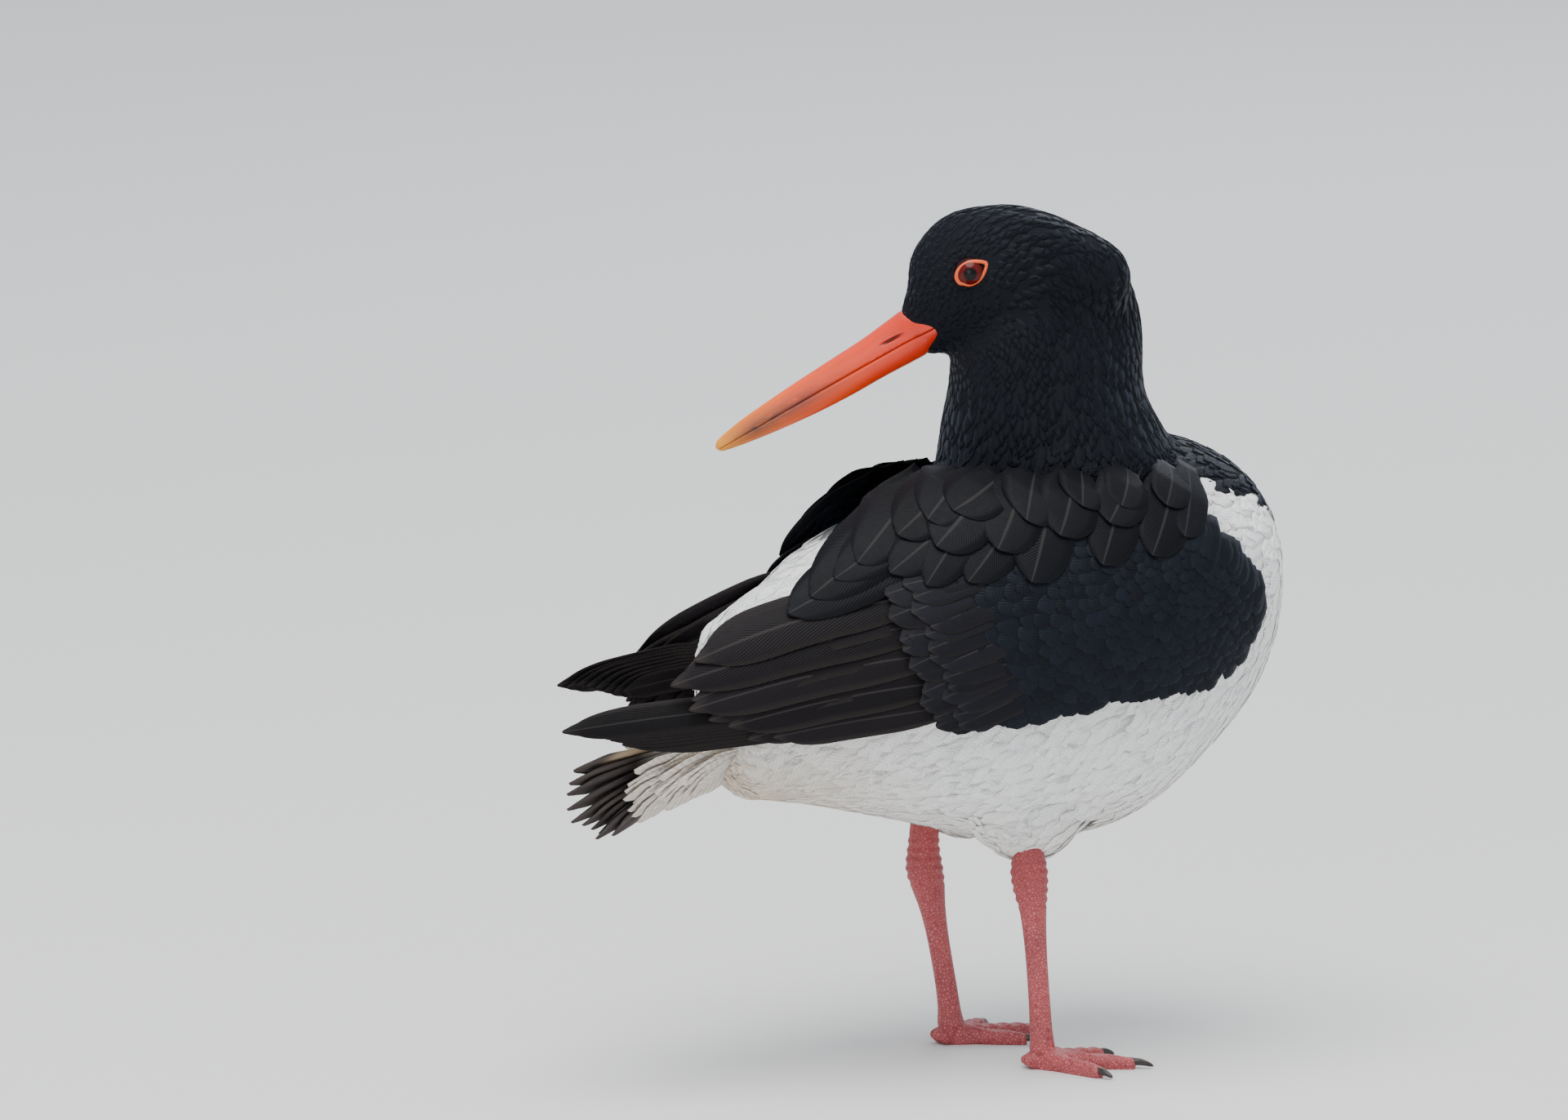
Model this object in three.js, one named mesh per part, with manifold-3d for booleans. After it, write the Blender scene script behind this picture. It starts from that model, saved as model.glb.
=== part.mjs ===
// A still, life-size Eurasian oystercatcher, standing with its head turned back over its shoulder.
// Millimetres. +X is the way the breast faces, +Y is the bird's left and +Z is up.
import * as THREE from 'three';
import { mergeVertices } from 'three/addons/utils/BufferGeometryUtils.js';
import Module from 'manifold-3d';

const wasm = await Module();
wasm.setup();

// Driving sizes.
const GAP = 0.3;
const HEAD_CENTRE = [-2.2, 0, 247];
const HEAD_TURN = 155;
const BILL_DROP = 30.5;
const GAPE_HEIGHT = 1.5;
const GAPE_GAP = 0.4;
const EYE_RADIUS = 5.2;
const EYE_PLACE = [7, 13.4, 12];
const RING_RADIUS = 4.7;
const RING_THICKNESS = 0.8;
const HEAD_CUT = 219;
const NECK_CUT = 200.5;
const RIGHT_FOOT = [-2.5, -27];
const LEFT_FOOT = [-11.5, 21];
const VANE_THICKNESS = 0.8;
const ROOT_DEPTH = 1.8;

// Cross sections [along, side, height, half width, up, down] from one end of each form to the other.
const TORSO = [
  [-106, 0, 119, 20, 22, 22], [-97, 0, 119, 28, 34, 31], [-75, 0, 119, 38, 46, 35], [-42, 0, 124, 48, 58, 48],
  [-5, 0, 133, 54, 67, 66], [32, 0, 141, 55, 60, 71], [60, 0, 148, 47, 49, 59], [79, 0, 152, 35, 34, 43],
  [89, 0, 153, 22, 22, 27],
];
const NECK = [
  [176, 0, 26, 42, 34, 50], [190, 0, 18, 38, 38, 43], [203, 0, 13, 33, 36, 37], [214, 0, 10, 29, 34, 32],
  [226, 0, 9, 26, 34, 30], [238, 0, 8, 22, 32, 26], [247, 0, 7, 18, 25, 20],
];
const HEAD = [
  [-38, 0, -11, 10, 8, 9], [-32, 0, -9, 13, 12, 15], [-22, 0, -4, 17, 21, 21], [-11, 0, 1, 18.5, 25, 24],
  [2, 0, 4, 18.5, 26.5, 24], [12, 0, 5, 17, 25, 21], [22, 0, 5, 13.5, 20, 16], [28, 0, 3.5, 10, 13, 12.6],
  [32, 0, 2.4, 8.2, 11, 10.4], [35, 0, 1.6, 6.6, 9, 8.6],
];
const BILL = [
  [26, 0, 1.4, 4.6, 7, 5.5], [31, 0, 1.4, 5.4, 9.2, 7], [38, 0, 1.4, 5.2, 8.4, 6.8], [48, 0, 1.4, 4.4, 7.4, 6.5],
  [60, 0, 1.4, 3.4, 6.8, 6.4], [72, 0, 1.4, 2.7, 6.2, 5.8], [84, 0, 1.4, 2.2, 5.4, 4.6], [95, 0, 1.5, 1.8, 4.3, 3.2],
  [103, 0, 1.8, 1.5, 2.6, 2], [106, 0, 2, 1.3, 1.4, 1.3],
];
// The surface that the folded wing lies along. It runs on behind the body to the wing tips.
const WING_SHEET = [
  [78, 0, 150, 35, 40, 46], [66, 0, 148, 51, 50, 54], [40, 0, 143, 61, 61, 64], [10, 0, 137, 62.5, 69, 69],
  [-20, 0, 133, 60.5, 69, 68], [-50, 0, 129, 54, 62, 62], [-80, 0, 126, 45.5, 52, 52], [-110, 0, 124, 39, 42, 42],
  [-140, 0, 124, 30, 36, 36], [-175, 0, 124, 20, 30, 30],
];
// Outline of the wing's fleshy part, seen from the side.
const WING_OUTLINE = [
  [58, 184], [67, 168], [66, 150], [56, 132], [36, 121], [4, 117], [-32, 115], [-66, 114], [-92, 116],
  [-95, 132], [-84, 152], [-62, 172], [-34, 187], [0, 194], [34, 193],
];

function solid(geometry) {
  const bare = geometry.clone();
  bare.deleteAttribute('normal');
  bare.deleteAttribute('uv');
  const merged = mergeVertices(bare, 1e-4);
  return new wasm.Manifold(new wasm.Mesh({
    numProp: 3,
    vertProperties: new Float32Array(merged.attributes.position.array),
    triVerts: new Uint32Array(merged.index.array),
  }));
}

function largest(body) {
  const pieces = body.decompose();
  return pieces.reduce((best, piece) => (piece.volume() > best.volume() ? piece : best), pieces[0]);
}

function joined(pieces) {
  return pieces.reduce((sum, piece) => sum.add(piece));
}

// The cross section at a share of the way along a run of them.
function sectionAt(sections, share) {
  const at = share * (sections.length - 1);
  const centres = new THREE.CatmullRomCurve3(sections.map((s) => new THREE.Vector3(s[0], s[1], s[2])), false, 'catmullrom');
  const sizes = new THREE.CatmullRomCurve3(sections.map((s) => new THREE.Vector3(s[3], s[4], s[5])), false, 'catmullrom');
  const place = centres.getPoint(at / (sections.length - 1));
  const size = sizes.getPoint(at / (sections.length - 1));
  return { along: place.x, side: place.y, height: place.z, half: size.x, up: size.y, down: size.z };
}

// A rounded closed body through the cross sections, grown outwards by a margin.
function loft(sections, around, along, { grow = 0, cap = [0.12, 0.12], square = 2 } = {}) {
  const geometry = new THREE.SphereGeometry(1, around, along);
  const spots = geometry.attributes.position;
  for (let i = 0; i < spots.count; i += 1) {
    const x = spots.getX(i);
    const y = Math.max(-1, Math.min(1, spots.getY(i)));
    const z = spots.getZ(i);
    const share = (1 - y) / 2;
    const section = sectionAt(sections, share);
    const flat = Math.hypot(x, z) || 1;
    const across = x / flat;
    const upward = z / flat;
    const corner = (Math.abs(across) ** square + Math.abs(upward) ** square) ** (-1 / square);
    const start = Math.min(1, share / cap[0]);
    const end = Math.min(1, (1 - share) / cap[1]);
    const round = Math.sqrt(Math.max(0, 1 - (1 - start) ** 2)) * Math.sqrt(Math.max(0, 1 - (1 - end) ** 2));
    const pole = Math.hypot(x, z) < 1e-6 ? 0 : round * corner;
    const tall = upward > 0 ? section.up : section.down;
    spots.setXYZ(
      i,
      section.along + (share < 0.5 ? -grow : grow) * (1 - round),
      section.side + across * (section.half + grow) * pole,
      section.height + upward * (tall + grow) * pole,
    );
  }
  return geometry;
}

// The neck's sections lie flat and are listed from below, as [height, side, forward, half width, front, back].
function uprightLoft(sections, around, along, options) {
  const geometry = loft(sections.map((s) => [s[0], s[1], s[2], s[3], s[4], s[5]]), around, along, options);
  const turn = new THREE.Matrix4().makeBasis(
    new THREE.Vector3(0, 0, 1), new THREE.Vector3(0, -1, 0), new THREE.Vector3(1, 0, 0),
  );
  return geometry.applyMatrix4(turn);
}

// The head and bill are shaped along the bill, then turned back and lowered.
const turn = THREE.MathUtils.degToRad(HEAD_TURN);
const drop = THREE.MathUtils.degToRad(BILL_DROP);
const ahead = new THREE.Vector3(Math.cos(turn) * Math.cos(drop), Math.sin(turn) * Math.cos(drop), -Math.sin(drop));
const leftward = new THREE.Vector3(-Math.sin(turn), Math.cos(turn), 0);
const crownward = new THREE.Vector3().crossVectors(ahead, leftward);
const headFrame = new THREE.Matrix4().makeBasis(ahead, leftward, crownward);
headFrame.setPosition(...HEAD_CENTRE);

function inHead(geometry) {
  return solid(geometry.applyMatrix4(headFrame));
}

function ball(radius, place, around = 12, along = 8) {
  const geometry = new THREE.SphereGeometry(radius, around, along);
  geometry.rotateX(Math.PI / 2);
  geometry.translate(...place);
  return geometry;
}

function ringGeometry(side, fat) {
  const geometry = new THREE.TorusGeometry(RING_RADIUS, RING_THICKNESS + fat, 5, 16);
  geometry.scale(1.1, 0.92, 1);
  geometry.rotateX(Math.PI / 2);
  geometry.rotateZ(side * -0.12);
  geometry.translate(EYE_PLACE[0], side * (EYE_PLACE[1] + 3.3), EYE_PLACE[2]);
  return geometry;
}

function eyeball(side, fat) {
  return ball(EYE_RADIUS + fat, [EYE_PLACE[0], side * EYE_PLACE[1], EYE_PLACE[2]]);
}

// The bare skin at the corner of the mouth: the feathers stop short of it.
function gapeBare() {
  const geometry = new THREE.SphereGeometry(1, 12, 8);
  geometry.scale(9, 14, 4.2);
  geometry.translate(36, 0, 2);
  return geometry;
}

function nostril(side) {
  const geometry = new THREE.SphereGeometry(1, 8, 4);
  geometry.scale(4.4, 1.3, 0.55);
  geometry.translate(40, side * 5, 4.6);
  return geometry;
}

// Body, neck and head are one form, parted afterwards by thin cuts.
const torsoForm = solid(loft(TORSO, 28, 18, { cap: [0.12, 0.16] }));
const torsoClear = solid(loft(TORSO, 28, 18, { cap: [0.12, 0.16], grow: GAP + 0.1 }));
const neckForm = solid(uprightLoft(NECK, 22, 8, { cap: [0.1, 0.1] }));
const neckClear = solid(uprightLoft(NECK, 22, 8, { cap: [0.1, 0.1], grow: GAP + 0.1 }));
const headForm = inHead(loft(HEAD, 24, 18, { cap: [0.14, 0.06] }));
const thighs = [-1, 1].map((side) => {
  const geometry = new THREE.SphereGeometry(1, 12, 8);
  geometry.scale(21, 15, 20);
  geometry.translate(-5, side * 22, 84);
  return solid(geometry);
});
const whole = joined([torsoForm, neckForm, headForm, ...thighs]);
const bodyClear = joined([torsoClear, neckClear, ...thighs]);

const headPlane = [-0.15, 0, 0.9887];
const headLevel = HEAD_CUT * headPlane[2] + 9 * headPlane[0];
const neckPlane = [-0.07, 0, 0.9975];
const neckLevel = NECK_CUT * neckPlane[2] + 12 * neckPlane[0];
const downward = (plane) => plane.map((value) => -value);

const billForm = inHead(loft(BILL, 12, 12, { cap: [0.05, 0.08], square: 2.3 }));
const billClear = inHead(loft(BILL, 12, 12, { cap: [0.05, 0.08], square: 2.3, grow: GAP }));
const gapePoint = new THREE.Vector3(40, 0, GAPE_HEIGHT).applyMatrix4(headFrame);
const gapeLevel = gapePoint.dot(crownward);
const crown = crownward.toArray();

let head = whole.trimByPlane(headPlane, headLevel + GAP / 2).subtract(billClear).subtract(inHead(gapeBare()));
for (const side of [-1, 1]) {
  head = head.subtract(inHead(eyeball(side, GAP))).subtract(inHead(ringGeometry(side, GAP)));
}
const neck = whole.trimByPlane(downward(headPlane), -(headLevel - GAP / 2)).trimByPlane(neckPlane, neckLevel + GAP / 2);
let torso = whole.trimByPlane(downward(neckPlane), -(neckLevel - GAP / 2));
let billUpper = billForm.trimByPlane(crown, gapeLevel + GAPE_GAP / 2);
const billLower = billForm.trimByPlane(downward(crown), -(gapeLevel - GAPE_GAP / 2));
for (const side of [-1, 1]) {
  billUpper = billUpper.subtract(inHead(nostril(side)));
}

// A point at a height over the wing's surface. Side is -1 for the right wing and 1 for the left.
const sheetTable = Array.from({ length: 241 }, (_, i) => sectionAt(WING_SHEET, i / 240));
function sheetPoint(x, z, side, above) {
  const surface = (px, pz) => {
    let i = 1;
    while (i < 239 && sheetTable[i].along > px) {
      i += 1;
    }
    const near = sheetTable[i - 1];
    const far = sheetTable[i];
    const mix = (near.along - px) / (near.along - far.along);
    const half = near.half + (far.half - near.half) * mix;
    const height = near.height + (far.height - near.height) * mix;
    const tall = near.up + (far.up - near.up) * mix;
    const rise = (pz - height) / tall;
    return half * Math.sqrt(Math.max(0.06, 1 - rise * rise));
  };
  const y = surface(x, z);
  const slopeX = (surface(x + 0.5, z) - surface(x - 0.5, z));
  const slopeZ = (surface(x, z + 0.5) - surface(x, z - 0.5));
  const normal = new THREE.Vector3(-slopeX, 1, -slopeZ).normalize();
  return new THREE.Vector3(x, y, z).addScaledVector(normal, above).multiply(new THREE.Vector3(1, side, 1));
}

// A box whose two large faces are split alike, so that it can be bent into a thin vane.
function bladeGeometry(rows) {
  const geometry = new THREE.BoxGeometry(1, 1, 1, 2, rows, 1);
  const back = geometry.groups[5];
  const index = geometry.index;
  for (let i = back.start; i < back.start + back.count; i += 6) {
    const [a, b, d, , c] = [0, 1, 2, 3, 4].map((k) => index.getX(i + k));
    [a, b, c, a, c, d].forEach((value, k) => index.setX(i + k, value));
  }
  return geometry;
}

// One vane. place(share, across, above) gives a point of it, from its root at 0 to its tip at 1.
function vane(rows, half, thickness, round, place) {
  const geometry = bladeGeometry(rows);
  const spots = geometry.attributes.position;
  for (let i = 0; i < spots.count; i += 1) {
    const across = spots.getX(i) * 2;
    const row = spots.getY(i) + 0.5;
    const edge = Math.abs(across);
    const share = row - round * edge * row ** 4;
    const wide = half * (0.5 + 0.5 * Math.min(1, row / 0.35)) * (row > 0.99 ? 0.62 : 1);
    const thick = thickness * (1 - 0.3 * row) * (1 - 0.2 * edge);
    const point = place(share, across * wide, spots.getZ(i) * thick);
    spots.setXYZ(i, point.x, point.y, point.z);
  }
  return geometry;
}

// A vane of the folded wing between two places seen from the side. It lifts from its root and tilts like a tile.
function wingVane(side, root, tip, half, { rows = 2, lift = 2.2, tilt = 0.12, bow = 0, deep = ROOT_DEPTH, base = 0 } = {}) {
  const run = new THREE.Vector2(tip[0] - root[0], tip[1] - root[1]);
  const across2 = new THREE.Vector2(-run.y, run.x).normalize();
  if (across2.y < 0) {
    across2.negate();
  }
  const geometry = vane(rows, half, VANE_THICKNESS, 0.14, (share, across, above) => {
    const swing = across + bow * 4 * share * (1 - share);
    const x = root[0] + run.x * share + across2.x * swing;
    const z = root[1] + run.y * share + across2.y * swing;
    const climb = Math.min(1, share / 0.45);
    const height = base - deep + (deep + lift) * (0.55 * climb + 0.45 * share);
    return sheetPoint(x, z, side, height - across * tilt * climb + above);
  });
  return outward(geometry);
}

// Turns a closed form's faces outwards when a mirror has turned them in.
function outward(geometry) {
  const body = geometry.clone();
  body.deleteAttribute('normal');
  body.deleteAttribute('uv');
  const merged = mergeVertices(body, 1e-4);
  const spots = merged.attributes.position;
  const index = merged.index;
  let volume = 0;
  const corner = [new THREE.Vector3(), new THREE.Vector3(), new THREE.Vector3()];
  for (let i = 0; i < index.count; i += 3) {
    corner.forEach((v, k) => v.fromBufferAttribute(spots, index.getX(i + k)));
    volume += corner[0].dot(corner[1].clone().cross(corner[2]));
  }
  if (volume < 0) {
    for (let i = 0; i < index.count; i += 3) {
      const first = index.getX(i);
      index.setX(i, index.getX(i + 1));
      index.setX(i + 1, first);
    }
  }
  return solid(merged);
}

let seed = 7;
function jitter(size) {
  seed = (seed * 16807) % 2147483647;
  return (seed / 2147483647 - 0.5) * 2 * size;
}

const mix = (a, b, share) => a + (b - a) * share;

// Places in the long feathers: root, tip and half width. The right and left primaries differ a little in reach.
const TERTIALS = [
  { root: [-44, 160], tip: [-126, 141], half: 7.5, bow: 3 },
  { root: [-42, 151], tip: [-134, 133.5], half: 7.5, bow: 3 },
  { root: [-41, 142], tip: [-129, 126.5], half: 7, bow: 2.5 },
  { root: [-40, 133], tip: [-117, 120.5], half: 6.5, bow: 2 },
  { root: [-38, 125], tip: [-103, 116.5], half: 5.5, bow: 1 },
];
const PRIMARY_COUNT = 5;
const COVERT_COUNT = 6;
// The left wing sits lower on the body than the right one.
const LEFT_WING_DROP = 8;

function wing(side) {
  const outline = new THREE.Shape();
  const curve = new THREE.CatmullRomCurve3(WING_OUTLINE.map(([x, z]) => new THREE.Vector3(x, side > 0 ? z - LEFT_WING_DROP : z, 0)), true);
  outline.setFromPoints(curve.getPoints(26).slice(0, -1).map((p) => new THREE.Vector2(p.x, p.y)));
  const prism = new THREE.ExtrudeGeometry(outline, { depth: 90, bevelEnabled: false });
  prism.rotateX(Math.PI / 2);
  prism.translate(0, side > 0 ? 100 : -10, 0);
  const hull = solid(loft(WING_SHEET.map((s) => [...s]).reverse(), 26, 18, { cap: [0.05, 0.08] }));
  const shell = hull.intersect(outward(prism)).subtract(bodyClear);
  const pieces = [largest(shell)];
  const far = side > 0;
  const settled = ([x, z]) => {
    const back = Math.max(0, Math.min(1, (-x - 30) / 90));
    return far ? [x + 10 * back, z - LEFT_WING_DROP - 5 * back] : [x, z];
  };
  const vaneAt = (root, tip, half, options) => wingVane(side, settled(root), settled(tip), half, options);

  for (let i = 0; i < PRIMARY_COUNT; i += 1) {
    const share = i / (PRIMARY_COUNT - 1);
    const reach = far ? 19 : 0;
    const rise = far ? 3 : -3;
    pieces.push(wingVane(
      side,
      [-80, mix(129, 121, share) + rise * 0.3],
      [mix(-167, -141, share) + reach, mix(123.5, 116.5, share) + rise],
      mix(5, 4.4, share),
      { rows: 4, lift: -1.9, base: -1.2, deep: 1.2, tilt: 0.3, bow: 1 },
    ));
  }
  for (const { root, tip, half, bow } of TERTIALS) {
    pieces.push(vaneAt(root, tip, half, { rows: 4, lift: 1.2, tilt: 0.13, bow, deep: 1.6 }));
  }
  for (let i = 0; i < COVERT_COUNT; i += 1) {
    const share = i / (COVERT_COUNT - 1);
    const x = mix(-68, -56, share) + jitter(1);
    const z = mix(160, 120, share);
    pieces.push(vaneAt([x + 34, z + mix(9, 3, share)], [x, z], 5.6, { lift: 2.6, tilt: 0.12 }));
  }
  const scapulars = [
    { from: [-60, 165, 18, 166], rise: 12, length: 40, count: 5, half: 9.5 },
    { from: [-44, 178, 26, 180], rise: 7, length: 32, count: 4, half: 9 },
  ];
  scapulars.forEach(({ from, rise, length, count, half }, tier) => {
    for (let i = 0; i < count; i += 1) {
      const share = i / (count - 1);
      const x = mix(from[0], from[2], share) + jitter(1.5);
      const z = mix(from[1], from[3], share);
      const rising = { rows: 3, lift: 4.2 - tier * 0.4, base: 1, deep: 3, tilt: -0.04 };
      pieces.push(vaneAt([x + length, z + rise], [x, z], half, rising));
    }
  });
  return largest(joined(pieces).subtract(bodyClear));
}

// The tail: a short root with twelve quills spread as a fan that is rolled to the left and lowered.
const TAIL_ROOT = [-103, 0, 109];
const TAIL_DROP = 22;
const TAIL_ROLL = 48;
const TAIL_FAN = 27;
const TAIL_COUNT = 12;
function tail() {
  const dropped = THREE.MathUtils.degToRad(TAIL_DROP);
  const rolled = THREE.MathUtils.degToRad(TAIL_ROLL);
  const back = new THREE.Vector3(-Math.cos(dropped), 0, -Math.sin(dropped));
  const flatRight = new THREE.Vector3(0, -1, 0);
  const upright = new THREE.Vector3().crossVectors(flatRight, back).negate();
  if (upright.z < 0) {
    upright.negate();
  }
  const rightEdge = flatRight.clone().multiplyScalar(Math.cos(rolled)).addScaledVector(upright, Math.sin(rolled));
  const face = new THREE.Vector3().crossVectors(back, rightEdge).normalize();
  if (face.z < 0) {
    face.negate();
  }
  const origin = new THREE.Vector3(...TAIL_ROOT);
  const fanVane = (angle, start, length, half, level, rows, droop) => {
    const direction = back.clone().multiplyScalar(Math.cos(angle)).addScaledVector(rightEdge, Math.sin(angle));
    const sideways = rightEdge.clone().multiplyScalar(Math.cos(angle)).addScaledVector(back, -Math.sin(angle));
    return outward(vane(rows, half, VANE_THICKNESS, 0.1, (share, across, above) => origin.clone()
      .addScaledVector(direction, start + (length - start) * share)
      .addScaledVector(sideways, across)
      .addScaledVector(face, level * Math.min(1, share / 0.3) - across * 0.16 - droop * share * share + above)));
  };
  const root = new THREE.SphereGeometry(1, 12, 8);
  root.scale(19, 13, 8);
  const frame = new THREE.Matrix4().makeBasis(back, rightEdge, new THREE.Vector3().crossVectors(back, rightEdge));
  root.applyMatrix4(frame);
  root.translate(...origin.clone().addScaledVector(back, 12).toArray());
  const pieces = [outward(root)];
  for (let i = 0; i < TAIL_COUNT; i += 1) {
    const share = i / (TAIL_COUNT - 1);
    const angle = THREE.MathUtils.degToRad(mix(TAIL_FAN, -TAIL_FAN, share));
    pieces.push(fanVane(angle, 10, mix(62, 47, share) + jitter(1), 5.4, mix(1.2, -1.2, share), 3, 1));
  }
  for (let i = 0; i < 5; i += 1) {
    const angle = THREE.MathUtils.degToRad(mix(20, -20, i / 4));
    pieces.push(fanVane(angle, 8, mix(36, 30, i / 4), 6, -4.6, 2, 0));
    pieces.push(fanVane(angle, 8, 30, 6, 5, 2, 0));
  }
  return largest(joined(pieces).subtract(bodyClear));
}

// Legs: [height, side, forward, half width, front, back] from the toes' joint up into the thigh.
const SHANKS = {
  right: {
    sections: [
      [4, 0, 0, 4.6, 4.6, 4.6], [10, 0, -0.4, 3.7, 3.8, 3.8], [22, 0, -1.2, 3.2, 3.5, 3.5], [38, 0, -2.4, 3.2, 3.6, 3.6],
      [50, 0, -3.4, 3.7, 4.3, 4.3], [58, 0, -4.2, 4.8, 5.4, 5.8], [64, 0, -4.7, 5.2, 5.8, 6.2], [70, 0, -5, 4.6, 5, 5],
      [80, 0, -5, 4.2, 4.4, 4.4],
    ],
    foot: RIGHT_FOOT,
    toes: [
      { name: 'inner', angle: 12, length: 27, half: 2.6 },
      { name: 'middle', angle: -28, length: 33, half: 3 },
      { name: 'outer', angle: -68, length: 28, half: 2.6 },
    ],
  },
  left: {
    sections: [
      [4, 0, 0, 4.6, 4.6, 4.6], [10, 0, -0.7, 3.7, 3.8, 3.8], [20, 0, -2.2, 3.2, 3.5, 3.5], [34, 0, -4.8, 3.2, 3.6, 3.6],
      [44, 0, -6.8, 3.7, 4.3, 4.3], [52, 0, -8.4, 4.8, 5.4, 5.8], [58, 0, -9.6, 5.2, 5.8, 6.2],
      [66, 0, -10, 4.6, 5, 5], [80, 0, -9, 4.2, 4.4, 4.4],
    ],
    foot: LEFT_FOOT,
    toes: [
      { name: 'inner', angle: -32, length: 27, half: 2.6 },
      { name: 'middle', angle: 4, length: 33, half: 3 },
      { name: 'outer', angle: 42, length: 28, half: 2.6 },
    ],
  },
};
const TOE_HEIGHT = 2.7;
const ANKLE_CUT = 8.5;

function toeSections(length, half, grow) {
  return [
    [-7, 0, TOE_HEIGHT, half, TOE_HEIGHT, 3.4], [3, 0, TOE_HEIGHT, half + 0.4, TOE_HEIGHT + 0.9, 3.4],
    [length * 0.34, 0, TOE_HEIGHT - 0.2, half, TOE_HEIGHT - 0.1, 3.4],
    [length * 0.62, 0, TOE_HEIGHT - 0.4, half - 0.2, TOE_HEIGHT - 0.6, 3.4],
    [length * 0.84, 0, TOE_HEIGHT - 0.7, half - 0.7, TOE_HEIGHT - 1, 3.2],
    [length * 0.9, 0, TOE_HEIGHT - 0.9, half - 1, TOE_HEIGHT - 1.2, 3],
  ].map((s) => [s[0], s[1], s[2], s[3] + grow, s[4] + grow, s[5] + grow]);
}

function clawSections(length) {
  return [
    [length * 0.8, 0, 2.3, 1.1, 1.1, 1.1], [length * 0.92, 0, 2.2, 1.2, 1.2, 1.2], [length, 0, 1.7, 0.9, 0.9, 0.9],
    [length * 1.07, 0, 0.9, 0.5, 0.5, 0.5],
  ];
}

function placed(geometry, foot, angle) {
  return geometry.rotateZ(THREE.MathUtils.degToRad(angle)).translate(foot[0], foot[1], 0);
}

function leg(name) {
  const { sections, foot, toes } = SHANKS[name];
  const shifted = sections.map((s) => [s[0], -foot[1], s[2] + foot[0], s[3], s[4], s[5]]);
  const shank = solid(uprightLoft(shifted, 10, 14, { cap: [0.06, 0.06] }));
  const shape = { cap: [0.16, 0.14], square: 2.4 };
  const pieces = toes.map(({ angle, length, half }) => solid(placed(loft(toeSections(length, half, 0), 8, 7, shape), foot, angle)));
  const webs = toes.slice(0, 2).map(({ angle }, i) => {
    const web = new THREE.SphereGeometry(1, 8, 6);
    web.scale(9, 4.5, 2.6);
    web.translate(5, 0, 0.6);
    return solid(placed(web, foot, (angle + toes[i + 1].angle) / 2));
  });
  const standing = joined([shank.trimByPlane([0, 0, -1], -(ANKLE_CUT - GAP / 2)), ...pieces, ...webs]);
  const claws = toes.map(({ name: toe, angle, length }) => ({
    toe,
    body: solid(placed(loft(clawSections(length), 6, 6, { cap: [0.2, 0.2] }), foot, angle)).trimByPlane([0, 0, 1], 0),
    clear: solid(placed(loft(clawSections(length).map((s) => [s[0], s[1], s[2], s[3] + GAP, s[4] + GAP, s[5] + GAP]), 6, 6, { cap: [0.2, 0.2], grow: 0 }), foot, angle)),
  }));
  const bare = claws.reduce((sum, { clear }) => sum.subtract(clear), standing.trimByPlane([0, 0, 1], 0));
  return {
    foot: largest(bare),
    shank: largest(shank.trimByPlane([0, 0, 1], ANKLE_CUT + GAP / 2).subtract(bodyClear)),
    claws: claws.map(({ toe, body }) => ({ toe, body: largest(body) })),
  };
}

// Round-tipped feathers of the flank that hang over the thigh and the wing's lower edge.
function flankVane(side, x, z, length, half) {
  return outward(vane(3, half, VANE_THICKNESS, 0.16, (share, across, above) => {
    const px = x - length * share * 0.92 + across * 0.3;
    const pz = z - length * share * 0.3 + across * 0.95;
    const near = new THREE.Vector3(px, 0, 0);
    const section = flankSection(near.x);
    const drop = (pz - section.height) / section.down;
    const y = section.half * Math.sqrt(Math.max(0.05, 1 - drop * drop));
    const normal = new THREE.Vector3(0, y / section.half ** 2, (pz - section.height) / section.down ** 2).normalize();
    const lift = -ROOT_DEPTH + (ROOT_DEPTH + 2) * share - across * 0.1 + above;
    return new THREE.Vector3(px, y, pz).addScaledVector(normal, lift).multiply(new THREE.Vector3(1, side, 1));
  }));
}
const torsoTable = Array.from({ length: 121 }, (_, i) => sectionAt(TORSO, i / 120));
function flankSection(x) {
  return torsoTable.reduce((best, s) => (Math.abs(s.along - x) < Math.abs(best.along - x) ? s : best), torsoTable[0]);
}

const parts = [];
function add(name, body, colour, roughness, metalness = 0) {
  parts.push({ name, body, colour, roughness, metalness });
}

const flanks = [];
for (const side of [-1, 1]) {
  [[26, 96, 26, 7], [6, 94, 26, 7], [-34, 98, 28, 7], [46, 104, 24, 6.5]]
    .forEach(([x, z, length, half]) => flanks.push(flankVane(side, x, z, length, half)));
}
torso = largest(joined([torso, ...flanks]));

const BLACK = 0x17191d;
const CORAL = 0xd8502c;
const PINK = 0xb4606a;
add('torso', torso, 0xe9e4dc, 0.9);
add('neck', largest(neck), BLACK, 0.85);
add('head', largest(head), BLACK, 0.8);
add('bill_upper', largest(billUpper), CORAL, 0.4);
add('bill_lower', largest(billLower), CORAL, 0.4);
for (const [name, side] of [['left', 1], ['right', -1]]) {
  add(`eye_${name}`, inHead(eyeball(side, 0)), 0x6b1210, 0.1);
  add(`eye_ring_${name}`, largest(inHead(ringGeometry(side, 0)).subtract(inHead(eyeball(side, GAP)))), 0xe04a22, 0.5);
  add(`wing_${name}`, wing(side), 0x22252b, 0.8);
  const { foot, shank, claws } = leg(name);
  add(`shank_${name}`, shank, PINK, 0.6);
  add(`foot_${name}`, foot, PINK, 0.6);
  claws.forEach(({ toe, body }) => add(`claw_${name}_${toe}`, body, 0x14100f, 0.35));
}
add('tail', tail(), 0x2a2524, 0.85);

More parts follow.
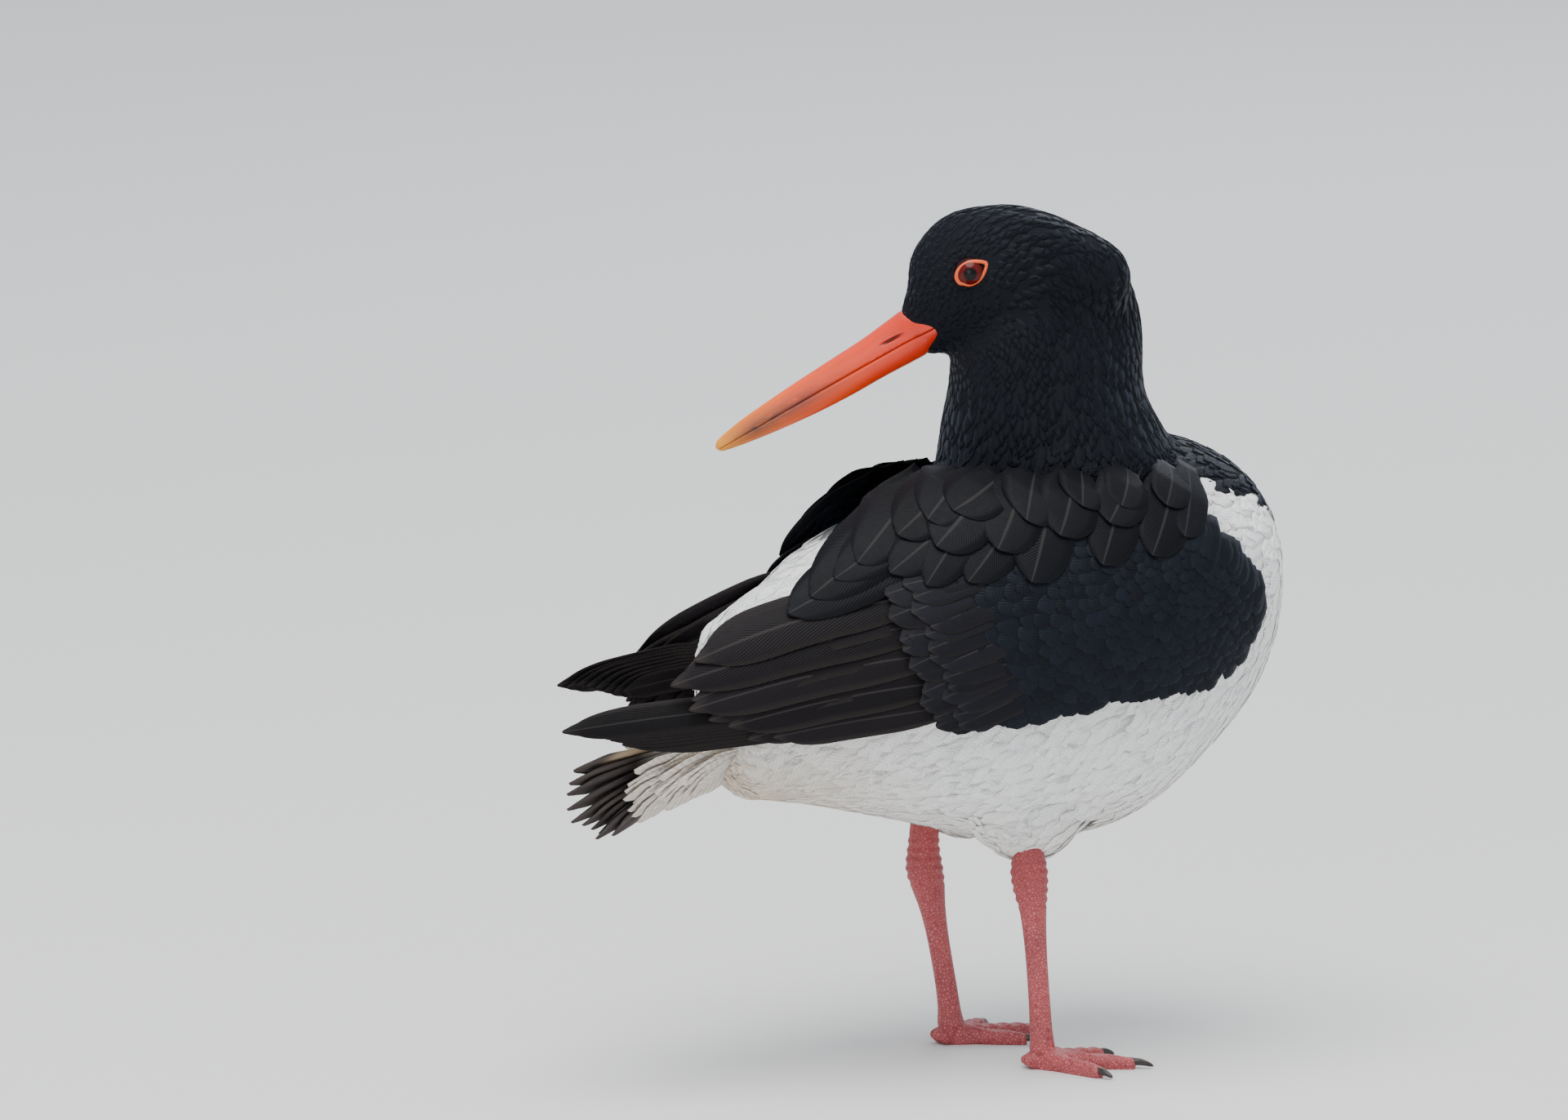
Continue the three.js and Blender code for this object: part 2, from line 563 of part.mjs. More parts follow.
const bird = new THREE.Group();
for (const { name, body, colour, roughness, metalness } of parts) {
  const mesh = body.getMesh();
  const geometry = new THREE.BufferGeometry();
  geometry.setAttribute('position', new THREE.BufferAttribute(new Float32Array(mesh.vertProperties), 3));
  geometry.setIndex(new THREE.BufferAttribute(new Uint32Array(mesh.triVerts), 1));
  geometry.computeVertexNormals();
  const piece = new THREE.Mesh(geometry, new THREE.MeshStandardMaterial({ color: colour, roughness, metalness }));
  piece.name = name;
  bird.add(piece);
}

// The origin is the middle of the footprint, on the floor.
const box = new THREE.Box3().setFromObject(bird);
bird.position.set(-(box.min.x + box.max.x) / 2, -(box.min.y + box.max.y) / 2, -box.min.z);

export default bird;
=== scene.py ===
import bpy
import bmesh
import itertools
import math
import numpy as np
from mathutils import Matrix, Vector
from mathutils.bvhtree import BVHTree


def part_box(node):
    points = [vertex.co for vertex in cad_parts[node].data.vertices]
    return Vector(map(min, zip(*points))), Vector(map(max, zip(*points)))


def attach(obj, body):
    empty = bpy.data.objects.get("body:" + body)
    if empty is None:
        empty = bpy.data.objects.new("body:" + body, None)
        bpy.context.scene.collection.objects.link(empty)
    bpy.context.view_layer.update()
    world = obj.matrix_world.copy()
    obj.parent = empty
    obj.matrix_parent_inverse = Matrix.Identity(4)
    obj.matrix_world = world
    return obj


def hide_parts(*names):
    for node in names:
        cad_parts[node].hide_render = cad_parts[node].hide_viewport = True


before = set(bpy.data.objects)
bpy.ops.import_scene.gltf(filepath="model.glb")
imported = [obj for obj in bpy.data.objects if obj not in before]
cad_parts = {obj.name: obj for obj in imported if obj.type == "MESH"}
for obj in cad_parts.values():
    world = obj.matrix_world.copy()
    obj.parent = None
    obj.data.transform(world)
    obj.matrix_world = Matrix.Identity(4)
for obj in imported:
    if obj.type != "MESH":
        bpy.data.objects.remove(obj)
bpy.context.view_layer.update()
scene = bpy.context.scene

# Flesh of the bird under its coat: body, folded wings, neck and head in one closed skin.
# It is grown from rounded cross sections, merged and smoothed, and carries the same
# black and white pattern as the feathers that are rooted in it.
HEAD_CENTRE = np.array([-2.2, 0.0, 247.0])
HEAD_TURN = math.radians(155)
BILL_DROP = math.radians(30.5)
EYE_PLACE = np.array([7.0, 13.4, 12.0])
BODY_COAT = 3.0
NECK_COAT = 1.4
HEAD_COAT = 1.2
# A cross section holds its place along the form, its middle sideways and up, half width, height and depth.
TORSO = [
    [-106, 0, 119, 20, 22, 22], [-97, 0, 119, 28, 34, 31], [-75, 0, 119, 38, 46, 35],
    [-42, 0, 124, 48, 58, 48], [-5, 0, 133, 54, 67, 66], [32, 0, 141, 55, 60, 71],
    [60, 0, 148, 47, 49, 59], [79, 0, 152, 35, 34, 43], [89, 0, 153, 22, 22, 27],
]
NECK = [
    [176, 0, 26, 42, 34, 50], [190, 0, 18, 38, 38, 43], [203, 0, 13, 33, 36, 37], [214, 0, 10, 29, 34, 32],
    [226, 0, 9, 26, 36.3, 30], [238, 0, 8, 22, 36.8, 26], [248, 0, 6, 17, 35.8, 20],
    [255, 0, 4, 13, 32.5, 14],
]
HEAD = [
    [-38, 0, -11, 10, 8, 9], [-32, 0, -9, 13, 12, 15], [-22, 0, -4, 17, 21, 21], [-11, 0, 1, 18.5, 25, 24],
    [2, 0, 4, 18.5, 26.5, 24], [12, 0, 5, 17, 25, 21], [22, 0, 5, 13.5, 20, 16], [28, 0, 3.5, 10, 13, 12.6],
    [32, 0, 2.4, 8.2, 11, 10.4], [35, 0, 1.6, 6.6, 9, 8.6],
]
WING_SHEET = [
    [78, 0, 150, 35, 40, 46], [66, 0, 148, 51, 50, 54], [40, 0, 143, 61, 61, 64], [10, 0, 137, 62.5, 69, 69],
    [-20, 0, 133, 60.5, 69, 68], [-50, 0, 129, 54, 62, 62], [-80, 0, 126, 45.5, 52, 52],
    [-110, 0, 124, 39, 42, 42], [-140, 0, 124, 30, 36, 36], [-175, 0, 124, 20, 30, 30],
]
WING_OUTLINE = np.array([
    [30, 180], [33, 171], [42, 165], [52, 158], [58, 150], [58, 141], [52, 130], [40, 123], [20, 121],
    [0, 120.5], [-32, 116.5], [-66, 114], [-92, 116], [-95, 132], [-84, 152], [-62, 172], [-34, 187],
    [0, 190], [26, 188],
], dtype=float)
LEFT_WING_DROP = 8.0
PAD_DEPTH = 1.6
PAD_REAR = -104
THIGH_SIZE = (19, 13, 18)
THIGH_PLACE = (-5, 22, 84)
SKIN_VOXEL = 0.0016
MANTLE = np.array([0.0045, 0.0055, 0.0085])
WHITE = np.array([0.90, 0.895, 0.88])
# Darker warm beige mixed into the white low on the body: painted shade lit by light reflected from the
# ground.
GROUND_BOUNCE_SHADE = np.array([0.50, 0.36, 0.22])
BREAST_LINE = 166
RUMP_LINE = -49

ahead = np.array([math.cos(HEAD_TURN) * math.cos(BILL_DROP), math.sin(HEAD_TURN) * math.cos(BILL_DROP),
                  -math.sin(BILL_DROP)])
leftward = np.array([-math.sin(HEAD_TURN), math.cos(HEAD_TURN), 0.0])
crownward = np.cross(ahead, leftward)
head_axes = np.stack([ahead, leftward, crownward])


def head_point(local):
    return HEAD_CENTRE + np.asarray(local, dtype=float) @ head_axes


def head_local(points):
    return (points - HEAD_CENTRE) @ head_axes.T


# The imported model's eye tells how far the floor's middle lies from the body's own centre line.
eye_low, eye_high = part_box("eye_left")
eye_middle = (np.array(eye_low) + np.array(eye_high)) / 2
shift = eye_middle * 1000 - head_point(EYE_PLACE)
shift[2] = 0.0


def metres(points):
    return (np.asarray(points) + shift) / 1000


def bird_points(mesh):
    """A mesh's points in the bird's own millimetres."""
    points = np.empty(len(mesh.vertices) * 3)
    mesh.vertices.foreach_get("co", points)
    return points.reshape(-1, 3) * 1000 - shift


def smooth(value, low, high):
    share = np.clip((np.asarray(value, dtype=float) - low) / (high - low), 0, 1)
    return share * share * (3 - 2 * share)


def section_at(sections, share):
    """Values of the cross section at a share of the way along, on a smooth curve through all of them."""
    table = np.array(sections, dtype=float)
    at = np.clip(share, 0, 1) * (len(table) - 1)
    low = np.minimum(at.astype(int), len(table) - 2)
    part = (at - low)[:, None]
    padded = np.vstack([2 * table[0] - table[1], table, 2 * table[-1] - table[-2]])
    a, b, c, d = padded[low], padded[low + 1], padded[low + 2], padded[low + 3]
    bend = (2 * a - 5 * b + 4 * c - d) * part ** 2 + (3 * b - a - 3 * c + d) * part ** 3
    return 0.5 * (2 * b + (c - a) * part + bend)


def loft_points(sphere, sections, cap, inset, square):
    """Moves the points of a ball of radius 1 onto the rounded form through the cross sections."""
    share = (1 - sphere[:, 2]) / 2
    values = section_at(sections, share)
    flat = np.hypot(sphere[:, 0], sphere[:, 1])
    safe = np.where(flat < 1e-6, 1, flat)
    across, upward = sphere[:, 0] / safe, sphere[:, 1] / safe
    corner = (np.abs(across) ** square + np.abs(upward) ** square + 1e-12) ** (-1 / square)
    start, end = np.minimum(1, share / cap[0]), np.minimum(1, (1 - share) / cap[1])
    round_off = np.sqrt(np.maximum(0, 1 - (1 - start) ** 2)) * np.sqrt(np.maximum(0, 1 - (1 - end) ** 2))
    round_off = np.where(flat < 1e-6, 0, round_off * corner)
    tall = np.where(upward > 0, values[:, 4], values[:, 5])
    return np.stack([
        values[:, 0],
        values[:, 1] + across * np.maximum(values[:, 3] - inset, 0.2) * round_off,
        values[:, 2] + upward * np.maximum(tall - inset, 0.2) * round_off,
    ], axis=1)


def add_loft(mesh, sections, around, along, cap, inset=0.0, square=2.0, place=None):
    """Adds a rounded form to a bmesh. place turns its points into the bird's own frame."""
    made = bmesh.ops.create_uvsphere(mesh, u_segments=around, v_segments=along, radius=1.0)["verts"]
    points = loft_points(np.array([v.co[:] for v in made]), sections, cap, inset, square)
    if place is not None:
        points = place(points)
    for vert, point in zip(made, points):
        vert.co = point


def upright(points):
    return np.stack([points[:, 2], -points[:, 1], points[:, 0]], axis=1)


def outline_distance(x, z, outline):
    """How far a place lies outside an outline, or inside it where the number is below zero."""
    points = np.stack([x, z], axis=1)
    inside = np.zeros(len(points), dtype=bool)
    nearest = np.full(len(points), 1e9)
    for start, end in zip(outline, np.roll(outline, -1, axis=0)):
        run = end - start
        share = np.clip(((points - start) @ run) / (run @ run), 0, 1)
        nearest = np.minimum(nearest, np.linalg.norm(points - start - share[:, None] * run, axis=1))
        crosses = (start[1] > points[:, 1]) != (end[1] > points[:, 1])
        edge = start[0] + (points[:, 1] - start[1]) * run[0] / np.where(run[1] == 0, 1e-9, run[1])
        inside ^= crosses & (points[:, 0] < edge)
    return np.where(inside, -nearest, nearest)


def wing_level(points):
    """Height on the right wing. The left wing hangs a little lower."""
    return points[:, 2] + np.where(points[:, 1] > 0, LEFT_WING_DROP, 0)


def off_wing(points):
    """Distance outside the folded wing's outline."""
    return outline_distance(points[:, 0], wing_level(points), WING_OUTLINE)


def wing_pad(points):
    """Sinks the wing's surface into the body outside the wing's own outline."""
    sink = PAD_DEPTH + 20 * smooth(off_wing(points), -6, 5)
    front, rear = WING_SHEET[0][0], WING_SHEET[-1][0]
    values = section_at(WING_SHEET, np.clip((front - points[:, 0]) / (front - rear), 0, 1))
    middle = np.stack([points[:, 0], np.zeros(len(points)), values[:, 2]], axis=1)
    out = points - middle
    length = np.linalg.norm(out, axis=1)[:, None]
    moved = middle + out * np.maximum(0.2, 1 - sink[:, None] / np.maximum(length, 1))
    moved[:, 0] = np.maximum(moved[:, 0], PAD_REAR)
    return moved


def new_piece(name, form):
    """Makes an object of a bmesh in the bird's own millimetres."""
    for vert in form.verts:
        vert.co = metres(vert.co)
    mesh = bpy.data.meshes.new(name)
    form.to_mesh(mesh)
    form.free()
    made = bpy.data.objects.new(name, mesh)
    scene.collection.objects.link(made)
    return made


def apply_modifiers(piece):
    rough = piece.data
    piece.data = bpy.data.meshes.new_from_object(piece.evaluated_get(bpy.context.evaluated_depsgraph_get()))
    piece.modifiers.clear()
    bpy.data.meshes.remove(rough)
    piece.data.name = piece.name


def merge_forms(piece, voxel, rounds):
    """Merges a piece's overlapping forms into one closed surface and smooths it."""
    remesh = piece.modifiers.new("merge", "REMESH")
    remesh.mode = "VOXEL"
    remesh.voxel_size = voxel
    relax = piece.modifiers.new("relax", "SMOOTH")
    relax.iterations = rounds
    apply_modifiers(piece)


def finish_piece(piece, material, replaced=()):
    piece.data.materials.append(material)
    if replaced:
        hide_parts(*replaced)
    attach(piece, "root")


skin_form = bmesh.new()
add_loft(skin_form, TORSO, 64, 48, (0.12, 0.16), inset=BODY_COAT)
add_loft(skin_form, NECK, 48, 24, (0.1, 0.1), inset=NECK_COAT, place=upright)
add_loft(skin_form, HEAD, 56, 44, (0.14, 0.06), inset=HEAD_COAT, place=head_point)
add_loft(skin_form, WING_SHEET[::-1], 72, 64, (0.05, 0.08), place=wing_pad)
for side in (-1, 1):
    thigh = bmesh.ops.create_uvsphere(skin_form, u_segments=24, v_segments=16, radius=1.0)["verts"]
    for vert in thigh:
        vert.co = np.array(vert.co) * THIGH_SIZE + np.array(THIGH_PLACE) * (1, side, 1)
bmesh.ops.recalc_face_normals(skin_form, faces=skin_form.faces)
skin = new_piece("skin", skin_form)
merge_forms(skin, SKIN_VOXEL, 20)

# The nape runs from the head into the neck without a step.
nape = skin.vertex_groups.new(name="nape")
rough_points = bird_points(skin.data)
nape_share = smooth(-head_local(rough_points)[:, 0], -4, 8) * smooth(rough_points[:, 2], 206, 222)
for index in np.flatnonzero(nape_share):
    nape.add([int(index)], float(nape_share[index]), "REPLACE")
soften = skin.modifiers.new("soften", "SMOOTH")
soften.iterations = 70
soften.vertex_group = "nape"
apply_modifiers(skin)
skin.vertex_groups.clear()
skin.data.shade_smooth()
skin_points = bird_points(skin.data)


def bake_place(points):
    """Place of a point on a plain unwrap of the skin: the trunk on one half, neck and head on the other."""
    trunk_turn = np.arctan2(points[:, 1], points[:, 2] - 130) / (2 * math.pi) + 0.5
    trunk_run = np.clip((points[:, 0] + 175) / 275, 0, 1)
    neck_turn = np.arctan2(points[:, 1], points[:, 0] - 5) / (2 * math.pi) + 0.5
    neck_run = np.clip((points[:, 2] - 198) / 80, 0, 1)
    upper = points[:, 2] > 200
    u = np.where(upper, 0.52 + 0.46 * neck_turn, 0.02 + 0.46 * trunk_turn)
    v = 0.02 + 0.96 * np.where(upper, neck_run, trunk_run)
    return np.stack([u, v], axis=1)


def plumage(points):
    """Colour of the small feathers by their place on the bird. Low on the belly and toward the rear the
    white turns darker and warm beige: painted shade lit by light reflected from the ground.
    """
    x, y, z = points[:, 0], points[:, 1], points[:, 2]
    wobble = 1.6 * np.sin(y * 0.31 + 1) + 1.3 * np.sin(x * 0.23 + z * 0.17)
    breast = BREAST_LINE + 0.021 * np.minimum(np.abs(y), 34) ** 2 - 0.09 * np.minimum(x - 60, 0)
    breast = breast - 36 * smooth(46 - x, 0, 8)
    rump = RUMP_LINE + 0.2 * np.abs(y)
    black = smooth(z + wobble, breast - 1.2, breast + 1.2) * smooth(x + wobble, rump - 1.5, rump + 1.5)
    # Painted shade with a warm ground reflection: strongest low toward the rear, fainter all along the low
    # belly.
    tint = smooth(-x, 20, 100) * smooth(128 - z, 0, 40) * 0.75 + smooth(96 - z, 0, 26) * 0.22
    white = WHITE * (1 - tint[:, None]) + GROUND_BOUNCE_SHADE * tint[:, None]
    return white * (1 - black[:, None]) + MANTLE * black[:, None]


def add_colours(mesh, colours):
    layer = mesh.color_attributes.new("Plumage", "FLOAT_COLOR", "POINT")
    opaque = np.column_stack([colours, np.ones(len(colours))])
    layer.data.foreach_set("color", opaque.astype(np.float32).ravel())


def add_uv(mesh, name, per_vertex):
    layer = mesh.uv_layers.new(name=name)
    index = np.empty(len(mesh.loops), dtype=np.int32)
    mesh.loops.foreach_get("vertex_index", index)
    layer.data.foreach_set("uv", per_vertex[index].astype(np.float32).ravel())


def new_material(name, finish):
    """A material, its nodes and its shader, with the shader's even values set."""
    material = bpy.data.materials.new(name)
    material.use_nodes = True
    nodes = material.node_tree.nodes
    shader = nodes["Principled BSDF"]
    for socket, value in finish.items():
        shader.inputs[socket].default_value = value
    return material, nodes, shader


def link(start, end):
    start.id_data.links.new(start, end)


def add_node(nodes, kind, inputs=None, **settings):
    """A shader node. A socket given as an input is linked, and anything else becomes the input's value."""
    made = nodes.new(kind)
    for name, value in settings.items():
        setattr(made, name, value)
    for name, value in (inputs or {}).items():
        if isinstance(value, bpy.types.NodeSocket):
            link(value, made.inputs[name])
        else:
            made.inputs[name].default_value = value
    return made


def object_place(nodes):
    return add_node(nodes, "ShaderNodeTexCoord").outputs["Object"]


def noise_at(nodes, place, scale, detail=2.0, roughness=0.5):
    return add_node(nodes, "ShaderNodeTexNoise", {
        "Vector": place, "Scale": scale, "Detail": detail, "Roughness": roughness}).outputs["Fac"]


def ranged(nodes, value, low, high, to_low, to_high):
    return add_node(nodes, "ShaderNodeMapRange", {
        "Value": value, "From Min": low, "From Max": high,
        "To Min": to_low, "To Max": to_high}).outputs["Result"]


def blend(nodes, share, first, second, blend_type="MIX"):
    return add_node(nodes, "ShaderNodeMix", {"Factor": share, "A": first, "B": second},
                    data_type="RGBA", blend_type=blend_type).outputs["Result"]


def bump_on(nodes, height, strength, distance):
    return add_node(nodes, "ShaderNodeBump", {
        "Height": height, "Strength": strength, "Distance": distance}).outputs["Normal"]


def mottle_group():
    """Uneven tone of down, horn, eye and leg skin: noise makes the colour darker and lighter."""
    group = bpy.data.node_groups.new("mottle", "ShaderNodeTree")
    group.interface.new_socket("Color", in_out="INPUT", socket_type="NodeSocketColor")
    group.interface.new_socket("Place", in_out="INPUT", socket_type="NodeSocketVector")
    for name in ("Scale", "Detail", "Roughness", "Darkest", "Lightest"):
        group.interface.new_socket(name, in_out="INPUT", socket_type="NodeSocketFloat")
    group.interface.new_socket("Color", in_out="OUTPUT", socket_type="NodeSocketColor")
    group.interface.new_socket("Noise", in_out="OUTPUT", socket_type="NodeSocketFloat")
    given = add_node(group.nodes, "NodeGroupInput").outputs
    noise = noise_at(group.nodes, given["Place"], given["Scale"], given["Detail"], given["Roughness"])
    shade = ranged(group.nodes, noise, 0, 1, given["Darkest"], given["Lightest"])
    colour = blend(group.nodes, 1, given["Color"], shade, "MULTIPLY")
    add_node(group.nodes, "NodeGroupOutput", {"Color": colour, "Noise": noise})
    return group


mottle = mottle_group()


def mottled(nodes, colour, place, scale, detail, darkest, lightest, roughness=0.5):
    made = add_node(nodes, "ShaderNodeGroup", {
        "Color": colour, "Place": place, "Scale": scale, "Detail": detail, "Roughness": roughness,
        "Darkest": darkest, "Lightest": lightest}, node_tree=mottle)
    return made.outputs["Color"], made.outputs["Noise"]


def down_material():
    """Close short down and feather bases: the attribute's colour, mottled, with a fine nap."""
    material, nodes, shader = new_material("skin_down", {"Specular IOR Level": 0.16, "Roughness": 0.85})
    pattern = add_node(nodes, "ShaderNodeAttribute", attribute_name="Plumage").outputs["Color"]
    colour, noise = mottled(nodes, pattern, object_place(nodes), 600, 2, 0.85, 1.1)
    link(colour, shader.inputs["Base Color"])
    link(bump_on(nodes, noise, 0.3, 0.0001), shader.inputs["Normal"])
    return material


add_colours(skin.data, plumage(skin_points) * 0.97)
add_uv(skin.data, "OFBake", bake_place(skin_points))
finish_piece(skin, down_material(), ("torso", "neck", "head"))

# Body feathers: soft overlapping contour feathers, each a thin curved vane rooted in the skin.
# They lie backwards over the trunk, down the neck and away from the bill, smallest on the face.
SEED = 11
COAT_TOP = 203
NECK_TOP = 224
TRUNK_GAP = 3.5
HEAD_GAP = 2.5
VANE_PATCH = np.array([0.0014, 0.0028])
NEIGHBOURS = list(itertools.product((-1, 0, 1), repeat=3))
random = np.random.default_rng(SEED)
skin_faces = [tuple(p.vertices) for p in skin.data.polygons]
skin_tree = BVHTree.FromPolygons([tuple(p) for p in skin_points], skin_faces)
skin_normals = np.empty(len(skin.data.vertices) * 3)
skin.data.vertices.foreach_get("normal", skin_normals)
skin_normals = skin_normals.reshape(-1, 3)


def feather_form(columns, rows, crowd=1.0):
    """A closed thin vane with the quill along its middle: across in u, from root to tip in v, layer in w.
    With crowd above 1 its rows stand closer toward the rounded tip."""
    form = bmesh.new()
    bmesh.ops.create_grid(form, x_segments=columns, y_segments=rows, size=1.0)
    for vert in form.verts:
        vert.co.y = 1 - (1 - (vert.co.y + 1) / 2) ** crowd
    copy = bmesh.ops.duplicate(form, geom=form.verts[:] + form.edges[:] + form.faces[:])
    lower = [item for item in copy["geom"] if isinstance(item, bmesh.types.BMFace)]
    for vert in {v for face in lower for v in face.verts}:
        vert.co.z = -1.0
    bmesh.ops.reverse_faces(form, faces=lower)
    bmesh.ops.bridge_loops(form, edges=[edge for edge in form.edges if edge.is_boundary])
    bmesh.ops.recalc_face_normals(form, faces=form.faces)
    form.verts.index_update()
    places = np.array([v.co[:] for v in form.verts])
    faces = [[v.index for v in face.verts] for face in form.faces]
    form.free()
    return places, faces


def joined_mesh(name, form, points, colours, bake):
    """One mesh of many feathers. points is feathers x places x 3, in the bird's own millimetres."""
    places, faces = form
    count, size = points.shape[0], points.shape[1]
    first = points[0] - points[0].mean(axis=0)
    fans = [(f[0], f[i], f[i + 1]) for f in faces for i in range(1, len(f) - 1)]
    if sum(np.dot(first[a], np.cross(first[b], first[c])) for a, b, c in fans) < 0:
        faces = [face[::-1] for face in faces]
    corners = np.concatenate([np.array(face) for face in faces])
    corners = (corners[None, :] + (np.arange(count) * size)[:, None]).ravel()
    starts = np.concatenate([[0], np.cumsum(np.tile([len(face) for face in faces], count))[:-1]])
    mesh = bpy.data.meshes.new(name)
    mesh.vertices.add(count * size)
    mesh.vertices.foreach_set("co", metres(points.reshape(-1, 3)).astype(np.float32).ravel())
    mesh.loops.add(len(corners))
    mesh.loops.foreach_set("vertex_index", corners.astype(np.int32))
    mesh.polygons.add(len(starts))
    mesh.polygons.foreach_set("loop_start", starts.astype(np.int32))
    broad = np.array([np.ptp(places[face, 2]) < 0.5 for face in faces])
    mesh.polygons.foreach_set("use_smooth", np.tile(broad, count))
    mesh.update(calc_edges=True)
    add_colours(mesh, colours.reshape(-1, 3))
    add_uv(mesh, "Vane", np.tile(np.stack([places[:, 0] * 0.5 + 0.5, places[:, 1]], axis=1), (count, 1)))
    add_uv(mesh, "OFBake", np.repeat(bake, size, axis=0) + np.tile(places[:, :2] * VANE_PATCH, (count, 1)))
    made = bpy.data.objects.new(name, mesh)
    scene.collection.objects.link(made)
    return made


def unit(vectors):
    return vectors / np.maximum(np.linalg.norm(vectors, axis=-1, keepdims=True), 1e-6)


def lie(points, normals):
    """The way the feathers lie at each place of the skin."""
    local = head_local(points)
    down_neck = np.clip((6 - local[:, 2]) / 26, 0, 1) + np.clip((-local[:, 0] - 6) / 30, 0, 1)
    down_neck = np.clip(down_neck, 0, 1)[:, None]
    head_way = -ahead * (1 - down_neck) + np.array([-0.12, 0.0, -1.0]) * down_neck
    trunk_way = np.tile(np.array([-1.0, 0.0, -0.42]), (len(points), 1))
    trunk_way[:, 1] += np.sign(points[:, 1]) * 0.12 * smooth(points[:, 0], 20, 70)
    part = smooth(points[:, 2], 184, 208)[:, None]
    way = trunk_way * (1 - part) + head_way * part
    return unit(way - normals * np.sum(way * normals, axis=1)[:, None])


def nearest_on_skin(points):
    found = [skin_tree.find_nearest(Vector(p)) for p in points]
    return np.array([f[0][:] for f in found]), np.array([f[1][:] for f in found])


def bent_feathers(form, roots, normals, ways, lengths, halves, lift, cup, tip, ragged, sink=0.12, thin=0.06):
    """Lays each vane along the skin from its root, its tip lifted, its sides cupped and its end rounded."""
    places, _ = form
    middle, _ = nearest_on_skin(roots + ways * lengths[:, None] * 0.5)
    end, end_normal = nearest_on_skin(middle + unit(middle - roots) * lengths[:, None] * 0.5)
    u, v = places[None, :, 0], places[None, :, 1]
    pairs = np.unique(np.round(places[:, :2], 4), axis=0, return_inverse=True)[1].ravel()
    teeth = random.random((len(roots), pairs.max() + 1))[:, pairs]
    shrink = 1 - tip * np.abs(u) ** 2 * v ** 3 - ragged * teeth * (v > 0.9) * 0.1
    along = np.clip(v * shrink, 0, 1)[..., None]
    control = 2 * middle - 0.5 * (roots + end)
    spine = (1 - along) ** 2 * roots[:, None] + 2 * along * (1 - along) * control[:, None]
    spine = spine + along ** 2 * end[:, None]
    up = (1 - along) * normals[:, None] + along * end_normal[:, None]
    up /= np.linalg.norm(up, axis=2, keepdims=True)
    run = 2 * (1 - along) * (control - roots)[:, None] + 2 * along * (end - control)[:, None]
    across = unit(np.cross(run, up))
    taper = np.sqrt(np.maximum(0.06, 1 - np.maximum(0, (v - 0.62) / 0.4) ** 2 * 0.85))
    wide = (0.3 + 0.7 * smooth(v, 0, 0.45)) * taper
    height = -sink + (sink + lift[:, None]) * v + cup * halves[:, None] * (1 - (u * wide) ** 2) * v
    height = height + places[None, :, 2] * thin
    return spine + across * (u * wide * halves[:, None])[..., None] + up * height[..., None]


def scatter(spacing_at, allowed, seed):
    """Evenly spread roots on the skin, no two closer than the spacing at that place."""
    pick = np.random.default_rng(seed)
    corners = np.array([face[:3] for face in skin_faces])
    a, b, c = skin_points[corners[:, 0]], skin_points[corners[:, 1]], skin_points[corners[:, 2]]
    centre = (a + c) / 2
    spacing = spacing_at(centre)
    area = np.linalg.norm(np.cross(b - a, c - a), axis=1)
    weight = np.where(allowed(centre), area / spacing ** 2, 0)
    total = int(weight.sum() * 5.5)
    chosen = pick.choice(len(weight), size=total, p=weight / weight.sum())
    r, s = pick.random(total), pick.random(total)
    points = a[chosen] + (b - a)[chosen] * r[:, None] + (c - b)[chosen] * s[:, None]
    cells = (points // float(spacing.max())).astype(int).tolist()
    grid, kept, spots = {}, [], points.tolist()
    for i, ((x, y, z), (cx, cy, cz), gap) in enumerate(zip(spots, cells, spacing[chosen].tolist())):
        near = (spots[j] for dx, dy, dz in NEIGHBOURS for j in grid.get((cx + dx, cy + dy, cz + dz), ()))
        if all((x - q[0]) ** 2 + (y - q[1]) ** 2 + (z - q[2]) ** 2 >= gap ** 2 for q in near):
            grid.setdefault((cx, cy, cz), []).append(i)
            kept.append(i)
    return points[kept], skin_normals[corners[chosen[kept], 0]]


def off_face(points):
    """False inside the eye rings and on the bare base of the bill."""
    x, y, z = head_local(points).T
    side = np.abs(y)
    eye = np.hypot((x - EYE_PLACE[0]) / 1.12, (z - EYE_PLACE[2]) / 0.95) < 4.9
    bill = (np.abs(z - 1.4) < 6) & (x > 33.2) & (side < 8)
    gape = ((x - 36) / 9.5) ** 2 + ((z - 2) / 4.6) ** 2 < 1
    return ~((eye & (side > 8)) | bill | gape)


def head_spacing(points):
    x, y, z = head_local(points).T
    face = smooth(x, -15, 20) * smooth(points[:, 2], 212, 226)
    near_eye = (1 - smooth(np.hypot(x - EYE_PLACE[0], z - EYE_PLACE[2]), 5, 14)) * (np.abs(y) > 8)
    return HEAD_GAP - 0.9 * face - 0.25 * near_eye


def trunk_spacing(points):
    return TRUNK_GAP - 1.2 * smooth(points[:, 2], 176, 198)


def under_wing(points):
    return (off_wing(points) < -9) & (np.abs(points[:, 1]) > 12) & (wing_level(points) < 179)


def maths(nodes, operation, *values):
    return add_node(nodes, "ShaderNodeMath", dict(enumerate(values)), operation=operation).outputs["Value"]


